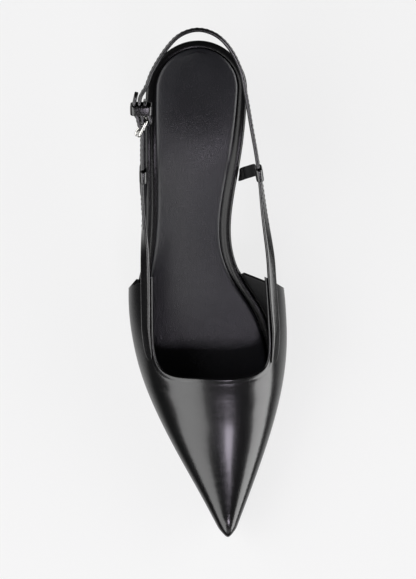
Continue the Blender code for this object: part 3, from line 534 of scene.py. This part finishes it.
def makeUpper():
    u = np.linspace(-1, 1, upperSet["columns"] + 1)
    grid = np.stack([fromTop(line) for line in ribGrid(0.5 + 0.25 * (u + u ** 3))])
    normals = unit(np.cross(np.gradient(grid, axis=0), np.gradient(grid, axis=1)))
    outer = dressSurface(grid, normals)
    wall = last["wall"]
    inner = grid - normals * wall
    inner[:, 0] = grid[:, 0] - unit(normals[:, 0] * (1, 1, 0)) * wall
    top = unit(grid[:, -1] - grid[:, -3])
    middle, radius = (outer[:, -1] + inner[:, -1]) / 2, wall / 2
    rolls = [middle + normals[:, -1] * (radius * cos(angle))
             + top * (radius * sin(angle) * upperSet["rollHeight"])
             for angle in np.radians(upperSet["rollAngles"])]
    sheet = np.concatenate([outer, np.stack(rolls, 1), inner[:, ::-1]], axis=1)
    columns, rows = sheet.shape[:2]
    count = outer.shape[1]
    faces = tubeFaces(columns, rows)
    slots = [int(count + 2 <= j < rows - 1) for j in range(rows)] * (columns - 1)   # lining
    for base in (0, (columns - 1) * rows):
        end = base + rows - 1
        faces += [(base + j, base + j + 1, end - 1 - j, end - j) for j in range(count - 1)]
        faces.append(tuple(range(base + count - 1, base + count + len(rolls) + 1)))
    slots += [0] * (len(faces) - len(slots))
    piece = makePiece("upperLeather", sheet.reshape(-1, 3), faces, [glossLeather, liningLeather], slots)
    softenEdges(piece, upperSet["bevel"], 55)
    settle(piece, "upper")


# Stitches: short capsules of thread, half sunk in the leather
stitchSet = {
    "length": 0.0017, "pitch": 0.0025, "radius": 0.00015, "sink": 0.00005, "sides": 6,
    "rings": ((0, 0.35, -1.6), (0.12, 0.9, 0), (0.5, 1, 0.35), (0.88, 0.9, 0), (1, 0.35, -1.6))}


def makeStitches(name, rows):
    # rows are (points, outward normals) of seams
    points, faces, keep = [], [], stitchSet
    turns = turnsOf(keep["sides"])
    for path, outs in rows:
        length = wayAlong(path)[-1]
        count = int(length / keep["pitch"])
        shares = (np.arange(count) + 0.5) / count
        half = keep["length"] / 2 / length
        starts, ends = resample(path, shares - half), resample(path, shares + half)
        for a, b, out in zip(starts, ends, resample(outs, shares)):
            out = unit(out)
            side = np.cross(unit(b - a), out)
            faces += cappedTube(len(keep["rings"]), keep["sides"], len(points))
            for share, wide, lift in keep["rings"]:
                centre = mix(a, b, share) + out * (lift * keep["radius"] - keep["sink"])
                wide *= keep["radius"]
                points += list(ringRound(centre, side, out, np.cos(turns) * wide, np.sin(turns) * wide))
    settle(makePiece(name, points, faces, [blackThread]))


# Flat sheets that follow the footbed: footbed, sock and outsole
def sheetPiece(name, rings, cross, topHeight, materials, painted=()):
    # rings run from the lowest to the highest; the top is filled by a fine net
    count = len(rings[0])
    tip = count // 2
    roundBack = count % 2 == 0
    first, mirror = (1, count) if roundBack else (0, count - 1)
    points = list(np.concatenate(rings))
    faces = tubeFaces(len(rings), count)
    slots = [int(level in painted) for level in range(len(rings) - 1) for i in range(count)]
    faces += [(mirror - i, mirror - i - 1, i + 1, i) for i in range(first, tip - 1)]
    faces.append((tip + 1, tip, tip - 1))
    if roundBack:
        faces.append((count - 1, 1, 0))
    base = (len(rings) - 1) * count
    net = []
    for i in range(first, tip):
        a, b = rings[-1][i], rings[-1][mirror - i]
        row = [base + i]
        for k in range(1, cross):
            x, y = mix(a, b, k / cross)[:2]
            row.append(len(points))
            points.append((x, y, topHeight(x, last["setback"] - y, k / cross)))
        row.append(base + mirror - i)
        net.append(row)
    for low, high in zip(net, net[1:]):
        faces += [(low[k], high[k], high[k + 1], low[k + 1]) for k in range(cross)]
    for row, peak in [(net[-1], base + tip)] + [(net[0], base)] * roundBack:
        faces += [(row[k], row[k + 1], peak) for k in range(cross)]
    slots += [0] * (len(faces) - len(slots))
    return makePiece(name, points, faces, materials, slots)


def sheetRings(loop, share, profile, surface=footbedTop):
    # a ring for each inset of a profile, at its height over a surface
    rings = []
    for inset, lift in profile:
        ring = grow(loop, inset * share)
        rings.append(place(ring[:, 0], ring[:, 1], surface(ring[:, 1]) + lift))
    return rings


boardSet = {
    "groove": 0.0005, "cross": 6,
    "profile": ((-0.0006, -0.0025), (-0.0002, -0.0023), (0, -0.0019),
                (0, -0.0009), (-0.00012, -0.0005), (-0.0004, -0.00012),
                (-0.0009, 0.00015), (-0.0017, 0.0003), (-0.0026, 0.00022),
                (-0.0034, -0.00005), (-0.004, -0.0005), (-0.0052, -0.0005))}


def makeFootbed():
    loop = boardLoop(0, lastLength)
    piece = sheetPiece("footbedWrap", sheetRings(loop, shrinkShare(loop), boardSet["profile"]),
                       boardSet["cross"], lambda x, along, share: footbedTop(along) - boardSet["groove"],
                       [wrapLeather])
    settle(piece, "insole_board")


sockSet = {
    "thick": 0.0012, "margin": 0.0042, "backShare": 0.93, "shortBy": 0.016,
    "crown": 0.001, "seatDish": 0.0005, "seat": (0.013, 0.027, 0.017), "cross": 16,
    "profile": ((-0.0004, -0.0006), (0, -0.0002), (0, 0.0004), (-0.0002, 0.0008),
                (-0.0006, 0.00115), (-0.0012, 0.00138), (-0.002, 0.0015))}


def sockTop(across, along, share):
    # slightly crowned, with the faint dish of the heel seat
    width, middle, length = sockSet["seat"]
    seat = np.exp(-(((along - middle) / length) ** 2 + (across / width) ** 2))
    crown = sockSet["crown"] * (1 - (2 * share - 1) ** 2)
    return (footbedTop(along) + gap + sockSet["thick"] + crown - sockSet["seatDish"] * seat)


def makeSock():
    loop = boardLoop(sockSet["margin"] * sockSet["backShare"],
                     lastLength - sockSet["shortBy"], sockSet["margin"])
    rings = sheetRings(loop, shrinkShare(loop, 0.006), sockSet["profile"])
    piece = sheetPiece("sockPad", rings, sockSet["cross"], sockTop, [sockLeather])
    settle(piece, "sock")


outsoleSet = {
    "breast": 0.0483, "inset": 0.0004, "shank": 0.44, "shankBlend": 0.05,
    "under": ((-0.0012, 0), (-0.00054, 0.000072), (-0.00018, 0.00027), (0, 0.0006)),
    "upper": ((0, -0.0004), (-0.0003, 0)), "cross": 2}


def soleUnder(along):
    return np.maximum(0, footbedTop(along) - ballLevel)


def soleTop(along):
    return footbedTop(along) - board - gap


def makeOutsole():
    # flush with the upper's wall under the vamp, just inside the footbed behind it
    keep = outsoleSet
    loop = boardLoop(keep["breast"], lastLength, roundBack=False)
    blend = (loop[:, 1] / lastLength - keep["shank"]) / keep["shankBlend"]
    margin = gap + last["wall"] - keep["inset"]
    loop = grow(loop, np.clip(blend, 0, 1) * margin - keep["inset"])
    rings = (sheetRings(loop, 1, keep["under"], soleUnder) + sheetRings(loop, 1, keep["upper"], soleTop))
    piece = sheetPiece("outsoleLeather", rings, keep["cross"],
                       lambda x, along, share: soleTop(along), [soleLeather, edgePaint],
                       painted=range(1, 5))
    settle(piece, "outsole")


makeUpper()
makeFootbed()
makeSock()
makeOutsole()
print("upper, footbed, sock and sole made")

# Heel: sections that shrink from the seat to the top lift
heelSet = {
    "lift": 0.005, "breast": 0.048, "inset": 0.0005, "levels": 46, "crowd": 0.9,
    "across": 12, "spacing": 0.0022, "bevel": 0.0004, "tipWidth": 0.0062}
heelRows = {
    "rise": (0, 0.12, 0.3, 0.5, 0.68, 0.82, 0.92, 0.97, 1),
    "back": (0.229, 0.222, 0.2, 0.16, 0.108, 0.06, 0.028, 0.012, 0),
    "front": (0.48, 0.484, 0.496, 0.53, 0.6, 0.72, 0.87, 0.96, 1),
    "width": (0.265, 0.27, 0.292, 0.352, 0.48, 0.66, 0.85, 0.955, 1)}
liftSet = {
    "margin": 0.0003,
    "profile": ((-0.0012, 0), (-0.0004, 0), (-0.0001, 0.00025), (0, 0.0006),
                (0, 0.0042), (-0.00015, 0.0046), (-0.0006, 0.0047))}
heelBack, heelFront, heelWidth = curves(heelRows)


def heelSeat():
    rows = alongStations(0, lastLength, spacing=heelSet["spacing"])
    rows = np.append(rows[rows < heelSet["breast"] - 0.001], heelSet["breast"])
    outer, inner = bothSides(boardSide, rows)
    front = mix(outer[-1], inner[-1], np.linspace(0, 1, heelSet["across"])[1:-1, None])
    return grow(np.concatenate([[[0, 0]], outer, front, inner[::-1]]), -heelSet["inset"])


def heelRing(seat, rise, margin=0):
    back = heelBack(rise) * heelSet["breast"] - margin
    depth = heelFront(rise) * heelSet["breast"] + margin - back
    width = heelWidth(rise) * (1 + margin / heelSet["tipWidth"])
    return np.stack([seat[:, 0] * width, back + seat[:, 1] / heelSet["breast"] * depth], 1)


def makeHeel():
    seat = heelSeat()
    seatHeight = soleTop(seat[:, 1])
    rings = []
    for rise in np.linspace(0, 1, heelSet["levels"] + 1) ** heelSet["crowd"]:
        ring = heelRing(seat, rise)
        rings.append(place(ring[:, 0], ring[:, 1], mix(heelSet["lift"], seatHeight, rise)))
    piece = makePiece("heelCover", np.concatenate(rings), cappedTube(len(rings), len(seat)),
                      [wrapLeather])
    softenEdges(piece, heelSet["bevel"], 45)
    settle(piece, "heel")


def makeLift():
    ring = heelRing(heelSeat(), 0, liftSet["margin"])
    rings = sheetRings(ring, 1, liftSet["profile"], lambda along: 0)
    piece = makePiece("heelLift", np.concatenate(rings), cappedTube(len(rings), len(ring)), [liftRubber])
    settle(piece, "heel_tip")


makeHeel()
makeLift()
print("heel made")

# Straps and buckle
strapSet = {
    "width": 0.0055, "thick": 0.0018, "slingTop": 0.101, "slingBack": -0.0018,
    "widthPower": 0.4, "thickPower": 0.625, "sides": 28, "ends": ((0.94, 0.1),
    (0.8, 0.2)), "wingStart": 0.15, "wingSteps": 30, "skive": 0.016, "lean": 0.24,
    "tail": 0.0108, "foldTail": 0.0085, "foldEase": 0.0012, "tip": 0.0017,
    "tipTurn": 0.96, "seamsFrom": -0.078, "seamMargin": 0.0009}
innerStrapRows = {
    "along": (0.43, 0.35, 0.283, 0.233, 0.175, 0.117, 0.07, 0.03, 0.003),
    "across": (0.445, 0.407, 0.38, 0.355, 0.322, 0.29, 0.258, 0.195, 0.11)}
outerSlingRows = {"along": (0.003, 0.03, 0.07, 0.1), "across": (-0.11, -0.195, -0.275, -0.313)}
outerStrapRows = {"along": (0.43, 0.35, 0.283, 0.233), "across": (-0.332, -0.336, -0.338, -0.339)}
bowRows = {"back": (0, 0.25, 0.5, 0.75, 1, 1.4), "out": (0, 0.5, 0.78, 0.76, 0.42, -0.9)}
foldRows = {"back": (0, 0.3, 0.65, 1), "ease": (0, 0.25, 0.85, 1)}
bowOut, = curves(bowRows)
strapWidth, strapThick = strapSet["width"], strapSet["thick"]
halfStrap = strapThick / 2


def smoothPath(points, spacing):
    # through every point, then at even steps
    points = [np.array(p, float) for p in points]
    padded = [2 * points[0] - points[1]] + points + [2 * points[-1] - points[-2]]
    dense = []
    for a, b, c, d in zip(padded, padded[1:], padded[2:], padded[3:]):
        dense += [b + (c - a) / 2 * t + (2 * a - 5 * b + 4 * c - d) / 2 * t ** 2
                  + (3 * b - a - 3 * c + d) / 2 * t ** 3 for t in np.arange(24) / 24]
    dense.append(points[-1])
    steps = max(2, round(wayAlong(dense)[-1] / spacing))
    return list(resample(dense, np.linspace(0, 1, steps + 1)))


def skiveShare(points):
    # shares of thickness and width, growing from the thinned end inside the wing's edge
    way = wayAlong(points) / strapSet["skive"]
    return np.minimum(1, 0.25 + 0.75 * way), np.minimum(1, 0.5 + 0.5 * np.sqrt(way * 3))


def outward(run, up, side):
    out = unit(np.cross(run, up))
    return out if out[0] * side > 0 else -out


def wingStrap(side):
    # inside the wing, just under its topline
    ways = np.linspace(strapSet["wingStart"], 0, strapSet["wingSteps"] + 1)
    grid = ribGrid(1 - ways if side > 0 else ways)[:, upperSet["tuckSteps"] + 3:]
    tops = grid[:, -1]
    lows = np.array([pointsAt(rib, wayAlong(rib), [strapWidth])[0] for rib in grid[:, ::-1]])
    ups = unit(tops - lows)
    centres = []
    for i, run in enumerate(runsOf(tops, False)):
        lift = gap * 1.6 + strapThick * skiveShare(tops)[0][i] / 2
        centres.append((tops[i] + lows[i]) / 2 + outward(run, ups[i], side) * lift)
    return centres, list(ups)


def strapPoint(across, along, wingEnd):
    start = last["setback"] - wingEnd[1]
    share = (start - along) / (start - strapSet["slingBack"])
    return place(across, along, mix(wingEnd[2], strapSet["slingTop"], share))


def freePoints(rows, wingEnd):
    return [strapPoint(x * ballWidth, a * lastLength, wingEnd)
            for a, x in zip(rows["along"], rows["across"])]


def blendedUps(centres, first, reach, lean=0):
    way = wayAlong(centres)
    tilt = lean * np.sin(pi * way / way[-1])
    return [unit(mix(first, np.array((x, 0, 1)), s))
            for s, x in zip(ease(np.minimum(1, way / reach)), tilt)]


def strapFrames(centres, ups):
    centres = np.array(centres)
    runs = unit(runsOf(centres, False))
    levels = unit(ups - runs * np.sum(runs * ups, axis=1, keepdims=True))
    return centres, levels, np.cross(runs, levels)


def softSection(sides, width, thick, widthPower, thickPower):
    # places round a box with rounded corners, over its width and its thickness
    c, s = np.cos(turnsOf(sides)), np.sin(turnsOf(sides))
    return (np.sign(c) * np.abs(c) ** widthPower * width / 2,
            np.sign(s) * np.abs(s) ** thickPower * thick / 2)


def strapMesh(name, centres, ups, keep, widths=1, skived=False):
    # strap with soft edges; its ends close in over two small rings
    centres, levels, outs = strapFrames(centres, ups)
    full = np.ones(len(centres))
    thin, narrow = skiveShare(centres) if skived else (full, full)
    u, v = softSection(strapSet["sides"], keep["width"], keep["thick"], keep["widthPower"],
                       strapSet["thickPower"])
    rings = [ringRound(*axes, u * share, v * part)
             for *axes, share, part in zip(centres, levels, outs, narrow * widths, thin)]
    first, final = rings[0], rings[-1]
    startRun, endRun = unit(centres[0] - centres[1]), unit(centres[-1] - centres[-2])
    for scale, push in strapSet["ends"]:
        push *= keep["thick"]
        rings.insert(0, mix(centres[0], first, scale) + startRun * push)
        rings.append(mix(centres[-1], final, scale) + endRun * push)
    return makePiece(name, np.concatenate(rings), cappedTube(len(rings), strapSet["sides"]),
                     [glossLeather])


def stitchStrap(name, centres, ups, face, tail):
    # a seam along each edge, from behind the wing to short of the strap's tail
    first = next(i for i, p in enumerate(centres) if p[1] > strapSet["seamsFrom"])
    centres, levels, outs = strapFrames(centres[first:-tail], ups[first:-tail])
    outs = outs * face
    edge = strapWidth / 2 - strapSet["seamMargin"]
    paths = [centres + levels * side * edge + outs * halfStrap * 0.97 for side in (-1, 1)]
    makeStitches(name, [(path[2:-2], outs[2:-2]) for path in paths])


wingOuter, wingOuterUps = wingStrap(-1)
wingInner, wingInnerUps = wingStrap(1)
outerEnd, innerEnd = wingOuter[-1], wingInner[-1]

# Places of the buckle, in the tilted plane of the outer strap
buckleSet = {
    "barAlong": 0.0393, "rodAlong": 0.0462, "wire": 0.0007, "prong": 0.0005,
    "height": 0.008, "corner": 0.0015, "slant": 0.0038, "slotLength": 0.0064,
    "holeWidth": 0.0018, "wireSides": 14,
    "usedHole": (0.0009, 0.0016), "spareHoles": ((0.053, 0.0008), (0.06, 0.0008)),
    "prongPath": ((0.22, 0.275), (0.5, 0.51), (0.8, 0.7), (0.97, 0.88), (1, 1.03),
                  (0.96, 1.16)), "prongPoint": (0.95, 0.82, 0.6, 0.3)}
strapX = outerStrapRows["across"][-1] * ballWidth
rodX = strapX - halfStrap - gap - buckleSet["wire"]
barX = rodX + buckleSet["slant"]
foldReach = buckleSet["wire"] + gap + halfStrap
slingX = barX - foldReach
tailX = slingX - strapThick - gap
buckleBack = unit(strapPoint(0, 0, outerEnd) - strapPoint(0, 0.01, outerEnd))
buckleUp = unit(np.cross((1, 0, 0), buckleBack))


def onBuckle(across, along):
    return strapPoint(across, along, outerEnd)


def behindBar(across, share):
    # behind the bar at a share of the tail's length, out with the strap's bow
    return onBuckle(across - bowOut(share) * strapThick, buckleSet["barAlong"] - share * strapSet["tail"])


def foldedX(back):
    drawn = np.interp(back / strapSet["foldTail"], foldRows["back"], foldRows["ease"])
    return barX + foldReach - strapSet["foldEase"] * drawn


def betweenBars(share):
    return mix(buckleSet["barAlong"], buckleSet["rodAlong"], share)


def wholeLine(wing, wingUps, free, spacing, reach, lean=0):
    # out of the wing and on along the free points, as centres and ups
    line = smoothPath([wing[-4], wing[-1]] + free, spacing)
    clear = wing[-1][1] + strapWidth * 0.4
    line = line[next(i for i, p in enumerate(line) if p[1] > clear):]
    return wing + line, wingUps + blendedUps(line, wingUps[-1], lastLength * reach, lean)


def slingLine():
    free = freePoints(innerStrapRows, innerEnd)
    free += [place(0, strapSet["slingBack"], strapSet["slingTop"])]
    free += freePoints(outerSlingRows, outerEnd)
    free += [behindBar(slingX, share) for share in (1, 0.75, 0.5, 0.25, 0.09)]
    centres, ups = wholeLine(wingInner, wingInnerUps, free, 0.0016, 0.31)
    fold = [onBuckle(barX - foldReach * cos(angle),
                     buckleSet["barAlong"] + foldReach * sin(angle))
            for angle in np.arange(1, 18) / 18 * pi]
    fold += [behindBar(foldedX(back), back / strapSet["tail"])
             for back in np.linspace(0, strapSet["foldTail"], 9)]
    return centres + fold, ups + [buckleUp] * len(fold), len(fold)


def buckleStrapLine():
    free = freePoints(outerStrapRows, outerEnd)
    free += [onBuckle(mix(strapX, tailX, s), betweenBars(way))
             for s, way in ((0, 1.04), (0.25, 0.68), (0.75, 0.32), (1, -0.04))]
    free += [behindBar(tailX - gap, share) for share in (0.25, 0.45, 0.72, 1)]
    centres, ups = wholeLine(wingOuter, wingOuterUps, free, 0.0014, 0.19, -strapSet["lean"])
    turns = np.arange(1, 9) / 8 * pi / 2 * strapSet["tipTurn"]
    step = unit(centres[-1] - centres[-2]) * strapSet["tip"]
    tip = [centres[-1] + step * sin(turn) for turn in turns]
    widths = np.concatenate([np.ones(len(centres)), np.cos(turns)])
    return centres + tip, ups + [ups[-1]] * len(tip), widths


def strapCutter(centre, outline, depth=0.006):
    # block across the strap, from (back, up) pairs round its outline
    points = [centre + np.array((side * depth / 2, 0, 0)) + buckleBack * back + buckleUp * up
              for side in (-1, 1) for back, up in outline]
    return makePiece("cutter", points, cappedTube(2, len(outline)), [edgePaint])


def pinHole(centre, radius, length=0):
    # round, or drawn out to a slot
    outline = [(cos(turn) * radius + copysign(length / 2, cos(turn)),
                sin(turn) * radius) for turn in turnsOf(20)]
    return strapCutter(centre, outline)


def cutAway(piece, cutters):
    # the cut is applied and its tools are thrown away
    for cutter in cutters:
        modifier = piece.modifiers.new("cut", "BOOLEAN")
        modifier.operation, modifier.solver, modifier.object = "DIFFERENCE", "EXACT", cutter
    graph = bpy.context.evaluated_depsgraph_get()
    mesh = bpy.data.meshes.new_from_object(piece.evaluated_get(graph))
    piece.modifiers.clear()
    piece.data = mesh
    mesh.shade_smooth()
    mesh.set_sharp_from_angle(angle=radians(50))
    for cutter in cutters:
        bpy.data.objects.remove(cutter, do_unlink=True)


def makeStraps():
    centres, ups, folded = slingLine()
    sling = strapMesh("slingStrap", centres, ups, strapSet, skived=True)
    half, up = buckleSet["slotLength"] / 2, buckleSet["holeWidth"] / 2
    slot = strapCutter(onBuckle(barX - gap, buckleSet["barAlong"] + buckleSet["wire"]),
                       ((-half, -up), (half, -up), (half, up), (-half, up)), (foldReach + strapThick) * 2)
    cutAway(sling, [slot])
    settle(sling, "strap_sling")
    stitchStrap("slingStitches", centres, ups, 1, folded + 6)

    centres, ups, widths = buckleStrapLine()
    strap = strapMesh("buckleStrap", centres, ups, strapSet, widths, skived=True)
    cutters = [pinHole(onBuckle((strapX + tailX) / 2, betweenBars(0.55)), *buckleSet["usedHole"])]
    cutters += [pinHole(onBuckle(strapX, along), radius) for along, radius in buckleSet["spareHoles"]]
    cutAway(strap, cutters)
    settle(strap, "strap_lateral")
    stitchStrap("buckleStrapStitches", centres, ups, -1, 12)


def wireMesh(name, path, plane, radius, closed, node):
    count, sides = len(path), buckleSet["wireSides"]
    c, s = np.cos(turnsOf(sides)), np.sin(turnsOf(sides))
    rings = []
    for centre, run, size in zip(path, runsOf(path, closed), np.broadcast_to(radius, count)):
        rings.append(ringRound(centre, unit(np.cross(run, plane)), plane, c * size, s * size))
    faces = tubeFaces(count, sides, True) if closed else cappedTube(count, sides)
    settle(makePiece(name, np.concatenate(rings), faces, [buckleSilver]), node)


def roundedLoop(middle, axis, half, halfUp, corner, steps):
    # rectangle with round corners, in the plane of an axis and the buckle's up
    path = []
    for turn, (s, u) in enumerate(((1, 1), (-1, 1), (-1, -1), (1, -1))):
        for angle in (turn + np.arange(steps + 1) / steps) * pi / 2:
            path.append(middle + axis * (s * (half - corner) + corner * cos(angle))
                        + buckleUp * (u * (halfUp - corner) + corner * sin(angle)))
    return path


def makeBuckle():
    keep = buckleSet
    bar, rod = onBuckle(barX, keep["barAlong"]), onBuckle(rodX, keep["rodAlong"])
    side = unit(rod - bar)
    path = roundedLoop((bar + rod) / 2, side, np.linalg.norm(rod - bar) / 2, keep["height"] / 2,
                       keep["corner"], 12)
    wireMesh("buckleFrame", path, unit(np.cross(side, buckleUp)), keep["wire"], True,
             "buckle_frame")

    hook = keep["wire"] + gap * 0.7 + keep["prong"]
    path = [onBuckle(barX + hook * cos(angle),
                     keep["barAlong"] + hook * sin(angle) * 0.92)
            for angle in np.radians(-160 + np.arange(9) * 35)]
    restX, startX = rodX - hook, barX - hook / 2
    path += [onBuckle(mix(startX, restX, share), betweenBars(reach))
             for share, reach in keep["prongPath"]]
    line = smoothPath(path, 0.00035)
    sizes = np.full(len(line), keep["prong"])
    sizes[-4:] *= keep["prongPoint"]
    wireMesh("bucklePin", line, buckleUp, sizes, False, "buckle_prong")


# Keeper and the two side tabs
tabSet = {
    "width": 0.006, "thick": 0.0008, "widthPower": 2 / 7, "innerAlong": 0.0645,
    "outerAlong": 0.0655, "slant": 0.008, "foot": 0.001, "turnBy": 2.4}
keeperSet = {
    "width": 0.0046, "back": 0.0048, "corner": 0.0017, "sides": 16,
    "widthPower": 0.35, "thickPower": 0.6}


def makeKeeper():
    keep, thick = keeperSet, tabSet["thick"]
    reach = [keep["back"] + keep["width"] / 2 * s for s in (-1, 0, 1)]
    bows = [bowOut(b / strapSet["tail"]) * strapThick for b in reach]
    inner = max(foldedX(b) - bow for b, bow in zip(reach, bows)) + halfStrap
    outer = tailX - gap - max(bows) - halfStrap
    clear = gap * 1.2 + thick / 2
    middle = onBuckle((inner + outer) / 2, buckleSet["barAlong"] - keep["back"])
    path = roundedLoop(middle, np.array((1, 0, 0)), (inner - outer) / 2 + clear,
                       strapWidth / 2 + clear, keep["corner"], 8)
    b, t = softSection(keep["sides"], keep["width"], thick, keep["widthPower"], keep["thickPower"])
    rings = [ringRound(p, buckleBack, unit(np.cross(run, buckleBack)), b, t)
             for p, run in zip(path, runsOf(path))]
    piece = makePiece("strapKeeper", np.concatenate(rings),
                      tubeFaces(len(path), keep["sides"], True), [glossLeather])
    settle(piece, "strap_loop")


def hookPath(centre, up, out, step):
    # up one side of the strap, over it, down the other side and in underneath
    reach = strapWidth / 2
    over = [(-1, share * reach) for share in (-0.8, 0, 0.8)]
    over += [(-cos(turn), reach + abs(step) * sin(turn))
             for turn in np.arange(1, 6) / 6 * pi]
    over += [(1, share * reach) for share in (0.8, 0, -0.8)]
    over += [(cos(turn), -reach - abs(step) * sin(turn))
             for turn in np.array((0.25, 0.5, 0.62)) * pi]
    return [centre + out * step * across + up * rise for across, rise in over]


def makeTab(name, side, rows, along, slant, wingEnd, node):
    # from the footbed's edge up to the strap and round it
    strapAcross = smoothCurve(rows["along"][::-1], rows["across"][::-1])
    spot = lambda a: strapPoint(strapAcross(a / lastLength) * ballWidth, a, wingEnd)
    half, thick = tabSet["width"] / 2, tabSet["thick"]
    centre = spot(along)
    run = unit(spot(along + half) - centre)
    up = unit(np.array((0, 0, 1)) - run * run[2])
    out = outward(run, up, side)
    step = (halfStrap + gap * 0.6 + thick / 2) * side
    footAlong = along + slant
    edge = boardSide(footAlong, side) + side * (gap * 2.5 + thick / 2)
    low = footbedTop(footAlong) - board
    foot = place(edge, footAlong, low - tabSet["foot"])
    rise = place(edge, footAlong, low + board * 0.8)
    knee = centre - out * step - up * strapWidth * 0.9
    lift = [mix(rise, knee, s) + np.array((-side * x, 0, z)) * thick * side
            for s, x, z in ((0.35, 0.67, 1), (0.7, 0.5, 0.5))]
    line = smoothPath([foot, rise] + lift + [knee] + hookPath(centre, up, out, step), 0.0005)
    rimPoint = lambda a: place(boardSide(a, side), a, footbedTop(a))
    rim = unit(rimPoint(footAlong - half) - rimPoint(footAlong + half))
    rim = rim if np.dot(rim, run) > 0 else -rim
    ups = []
    for p in line:
        share = np.clip(tabSet["turnBy"] * (p[2] - foot[2]) / (knee[2] - foot[2]), 0, 1)
        ups.append(mix(rim, run, share))
    settle(strapMesh(name, line, ups, tabSet), node)


makeStraps()
makeBuckle()
makeKeeper()
makeTab("innerTab", 1, innerStrapRows, tabSet["innerAlong"], 0, innerEnd, "side_band_medial")
makeTab("outerTab", -1, outerStrapRows, tabSet["outerAlong"], tabSet["slant"], outerEnd,
        "side_band_lateral")
print("straps, buckle, keeper and tabs made")

# Floor, a pale sheet that glows faintly
floorSet = {
    "size": 16, "colour": (0.16,) * 3, "mottle": (0.1576,) * 3, "glow": 0.75,
    "roughness": 0.85, "specular": 0.2, "mottleScale": 6, "below": 0.0001}


def makeFloor():
    half = floorSet["size"] / 2
    material, tree, shader, where = newFinish("paleFloor")
    tone = toneRamp(tree, noiseFac(tree, where, floorSet["mottleScale"]),
                    (0, floorSet["mottle"]), (1, floorSet["colour"]))
    feed(tree, shader, {"Base Color": tone, "Roughness": floorSet["roughness"],
                        "Specular IOR Level": floorSet["specular"],
                        "Emission Color": (1, 1, 1, 1), "Emission Strength": floorSet["glow"]})
    points = [(-half, -half, 0), (half, -half, 0), (half, half, 0), (-half, half, 0)]
    floor = makePiece("floor", points, [(0, 1, 2, 3)], [material])
    floor.location.z = -floorSet["below"]
    floor.visible_glossy = False   # keeps the sides of the glossy leather dark


# Light: a bright wall on each side, a low one past the toe, a small box over it, a dim room
lightSet = {
    "outerWall": {"centre": (-1.2, 0.2, 1.08), "facing": (1, 0, 0), "size": (1.5, 1.5),
                  "glow": 2.9},
    "outerCorner": {"centre": (-0.78, -0.93, 0.86), "facing": (0.64, 0.77, 0),
                    "size": (1.15, 1.14), "glow": 2.9},
    "innerWall": {"centre": (1.2, -0.35, 0.26), "facing": (-1, 0, 0), "size": (2.6, 0.92),
                  "glow": 4.4},
    "toeWall": {"centre": (0, -1.7, 0.62), "facing": (0, 1, 0), "size": (2, 0.75),
                "glow": 0.7},
    "topSpot": {"centre": (0.21, -1, 1.32), "facing": (-0.21, 0.8, -1.29),
                "size": (0.28, 0.38), "glow": 10.5, "colour": (0.93, 0.86, 1)}}
roomLight = {"below": (0.6,) * 3, "level": (0.05,) * 3, "above": (0.08,) * 3}


def makeLights():
    for name, box in lightSet.items():
        data = bpy.data.lights.new(name, "AREA")
        data.shape = "RECTANGLE"
        data.size, data.size_y = box["size"]
        data.energy = box["glow"] * pi * data.size * data.size_y
        data.color = box.get("colour", (1, 1, 1))
        lamp = addObject(name, data)
        lamp.location = box["centre"]
        lamp.rotation_euler = (-Vector(box["facing"])).to_track_quat("Z", "Y").to_euler()
    world = bpy.data.worlds.new("room")
    world.use_nodes = True
    tree = world.node_tree
    where = addNode(tree, "TexCoord", {}).outputs["Generated"]
    parts = addNode(tree, "SeparateXYZ", {"Vector": where})
    rise = addNode(tree, "MapRange", {"Value": parts.outputs["Z"], "From Min": -1})
    # the ramp runs from straight down to straight up
    shade = toneRamp(tree, rise.outputs["Result"], (0, roomLight["below"]),
                     (1, roomLight["above"]), (0.16, roomLight["below"]),
                     (0.32, roomLight["level"]), (0.62, roomLight["level"]))
    feed(tree, tree.nodes["Background"], {"Color": shade})
    bpy.context.scene.world = world


# Camera: straight overhead, toe down, as in the photograph
cameraSet = {"height": 1.6, "viewHeight": 0.285, "viewLevel": 0.03, "sensor": 36}


def makeCamera(low, high):
    data = bpy.data.cameras.new("overhead")
    data.sensor_width = cameraSet["sensor"]
    reach = cameraSet["height"] - cameraSet["viewLevel"]
    data.lens = cameraSet["sensor"] * reach / cameraSet["viewHeight"]
    camera = addObject("overhead", data)
    camera.location = ((low[0] + high[0]) / 2, (low[1] + high[1]) / 2, cameraSet["height"])
    bpy.context.scene.camera = camera


makeFloor()
makeLights()
makeCamera(cadBox[0], cadBox[1])
bpy.context.scene.view_settings.view_transform = "Standard"
print("floor, light and camera set")
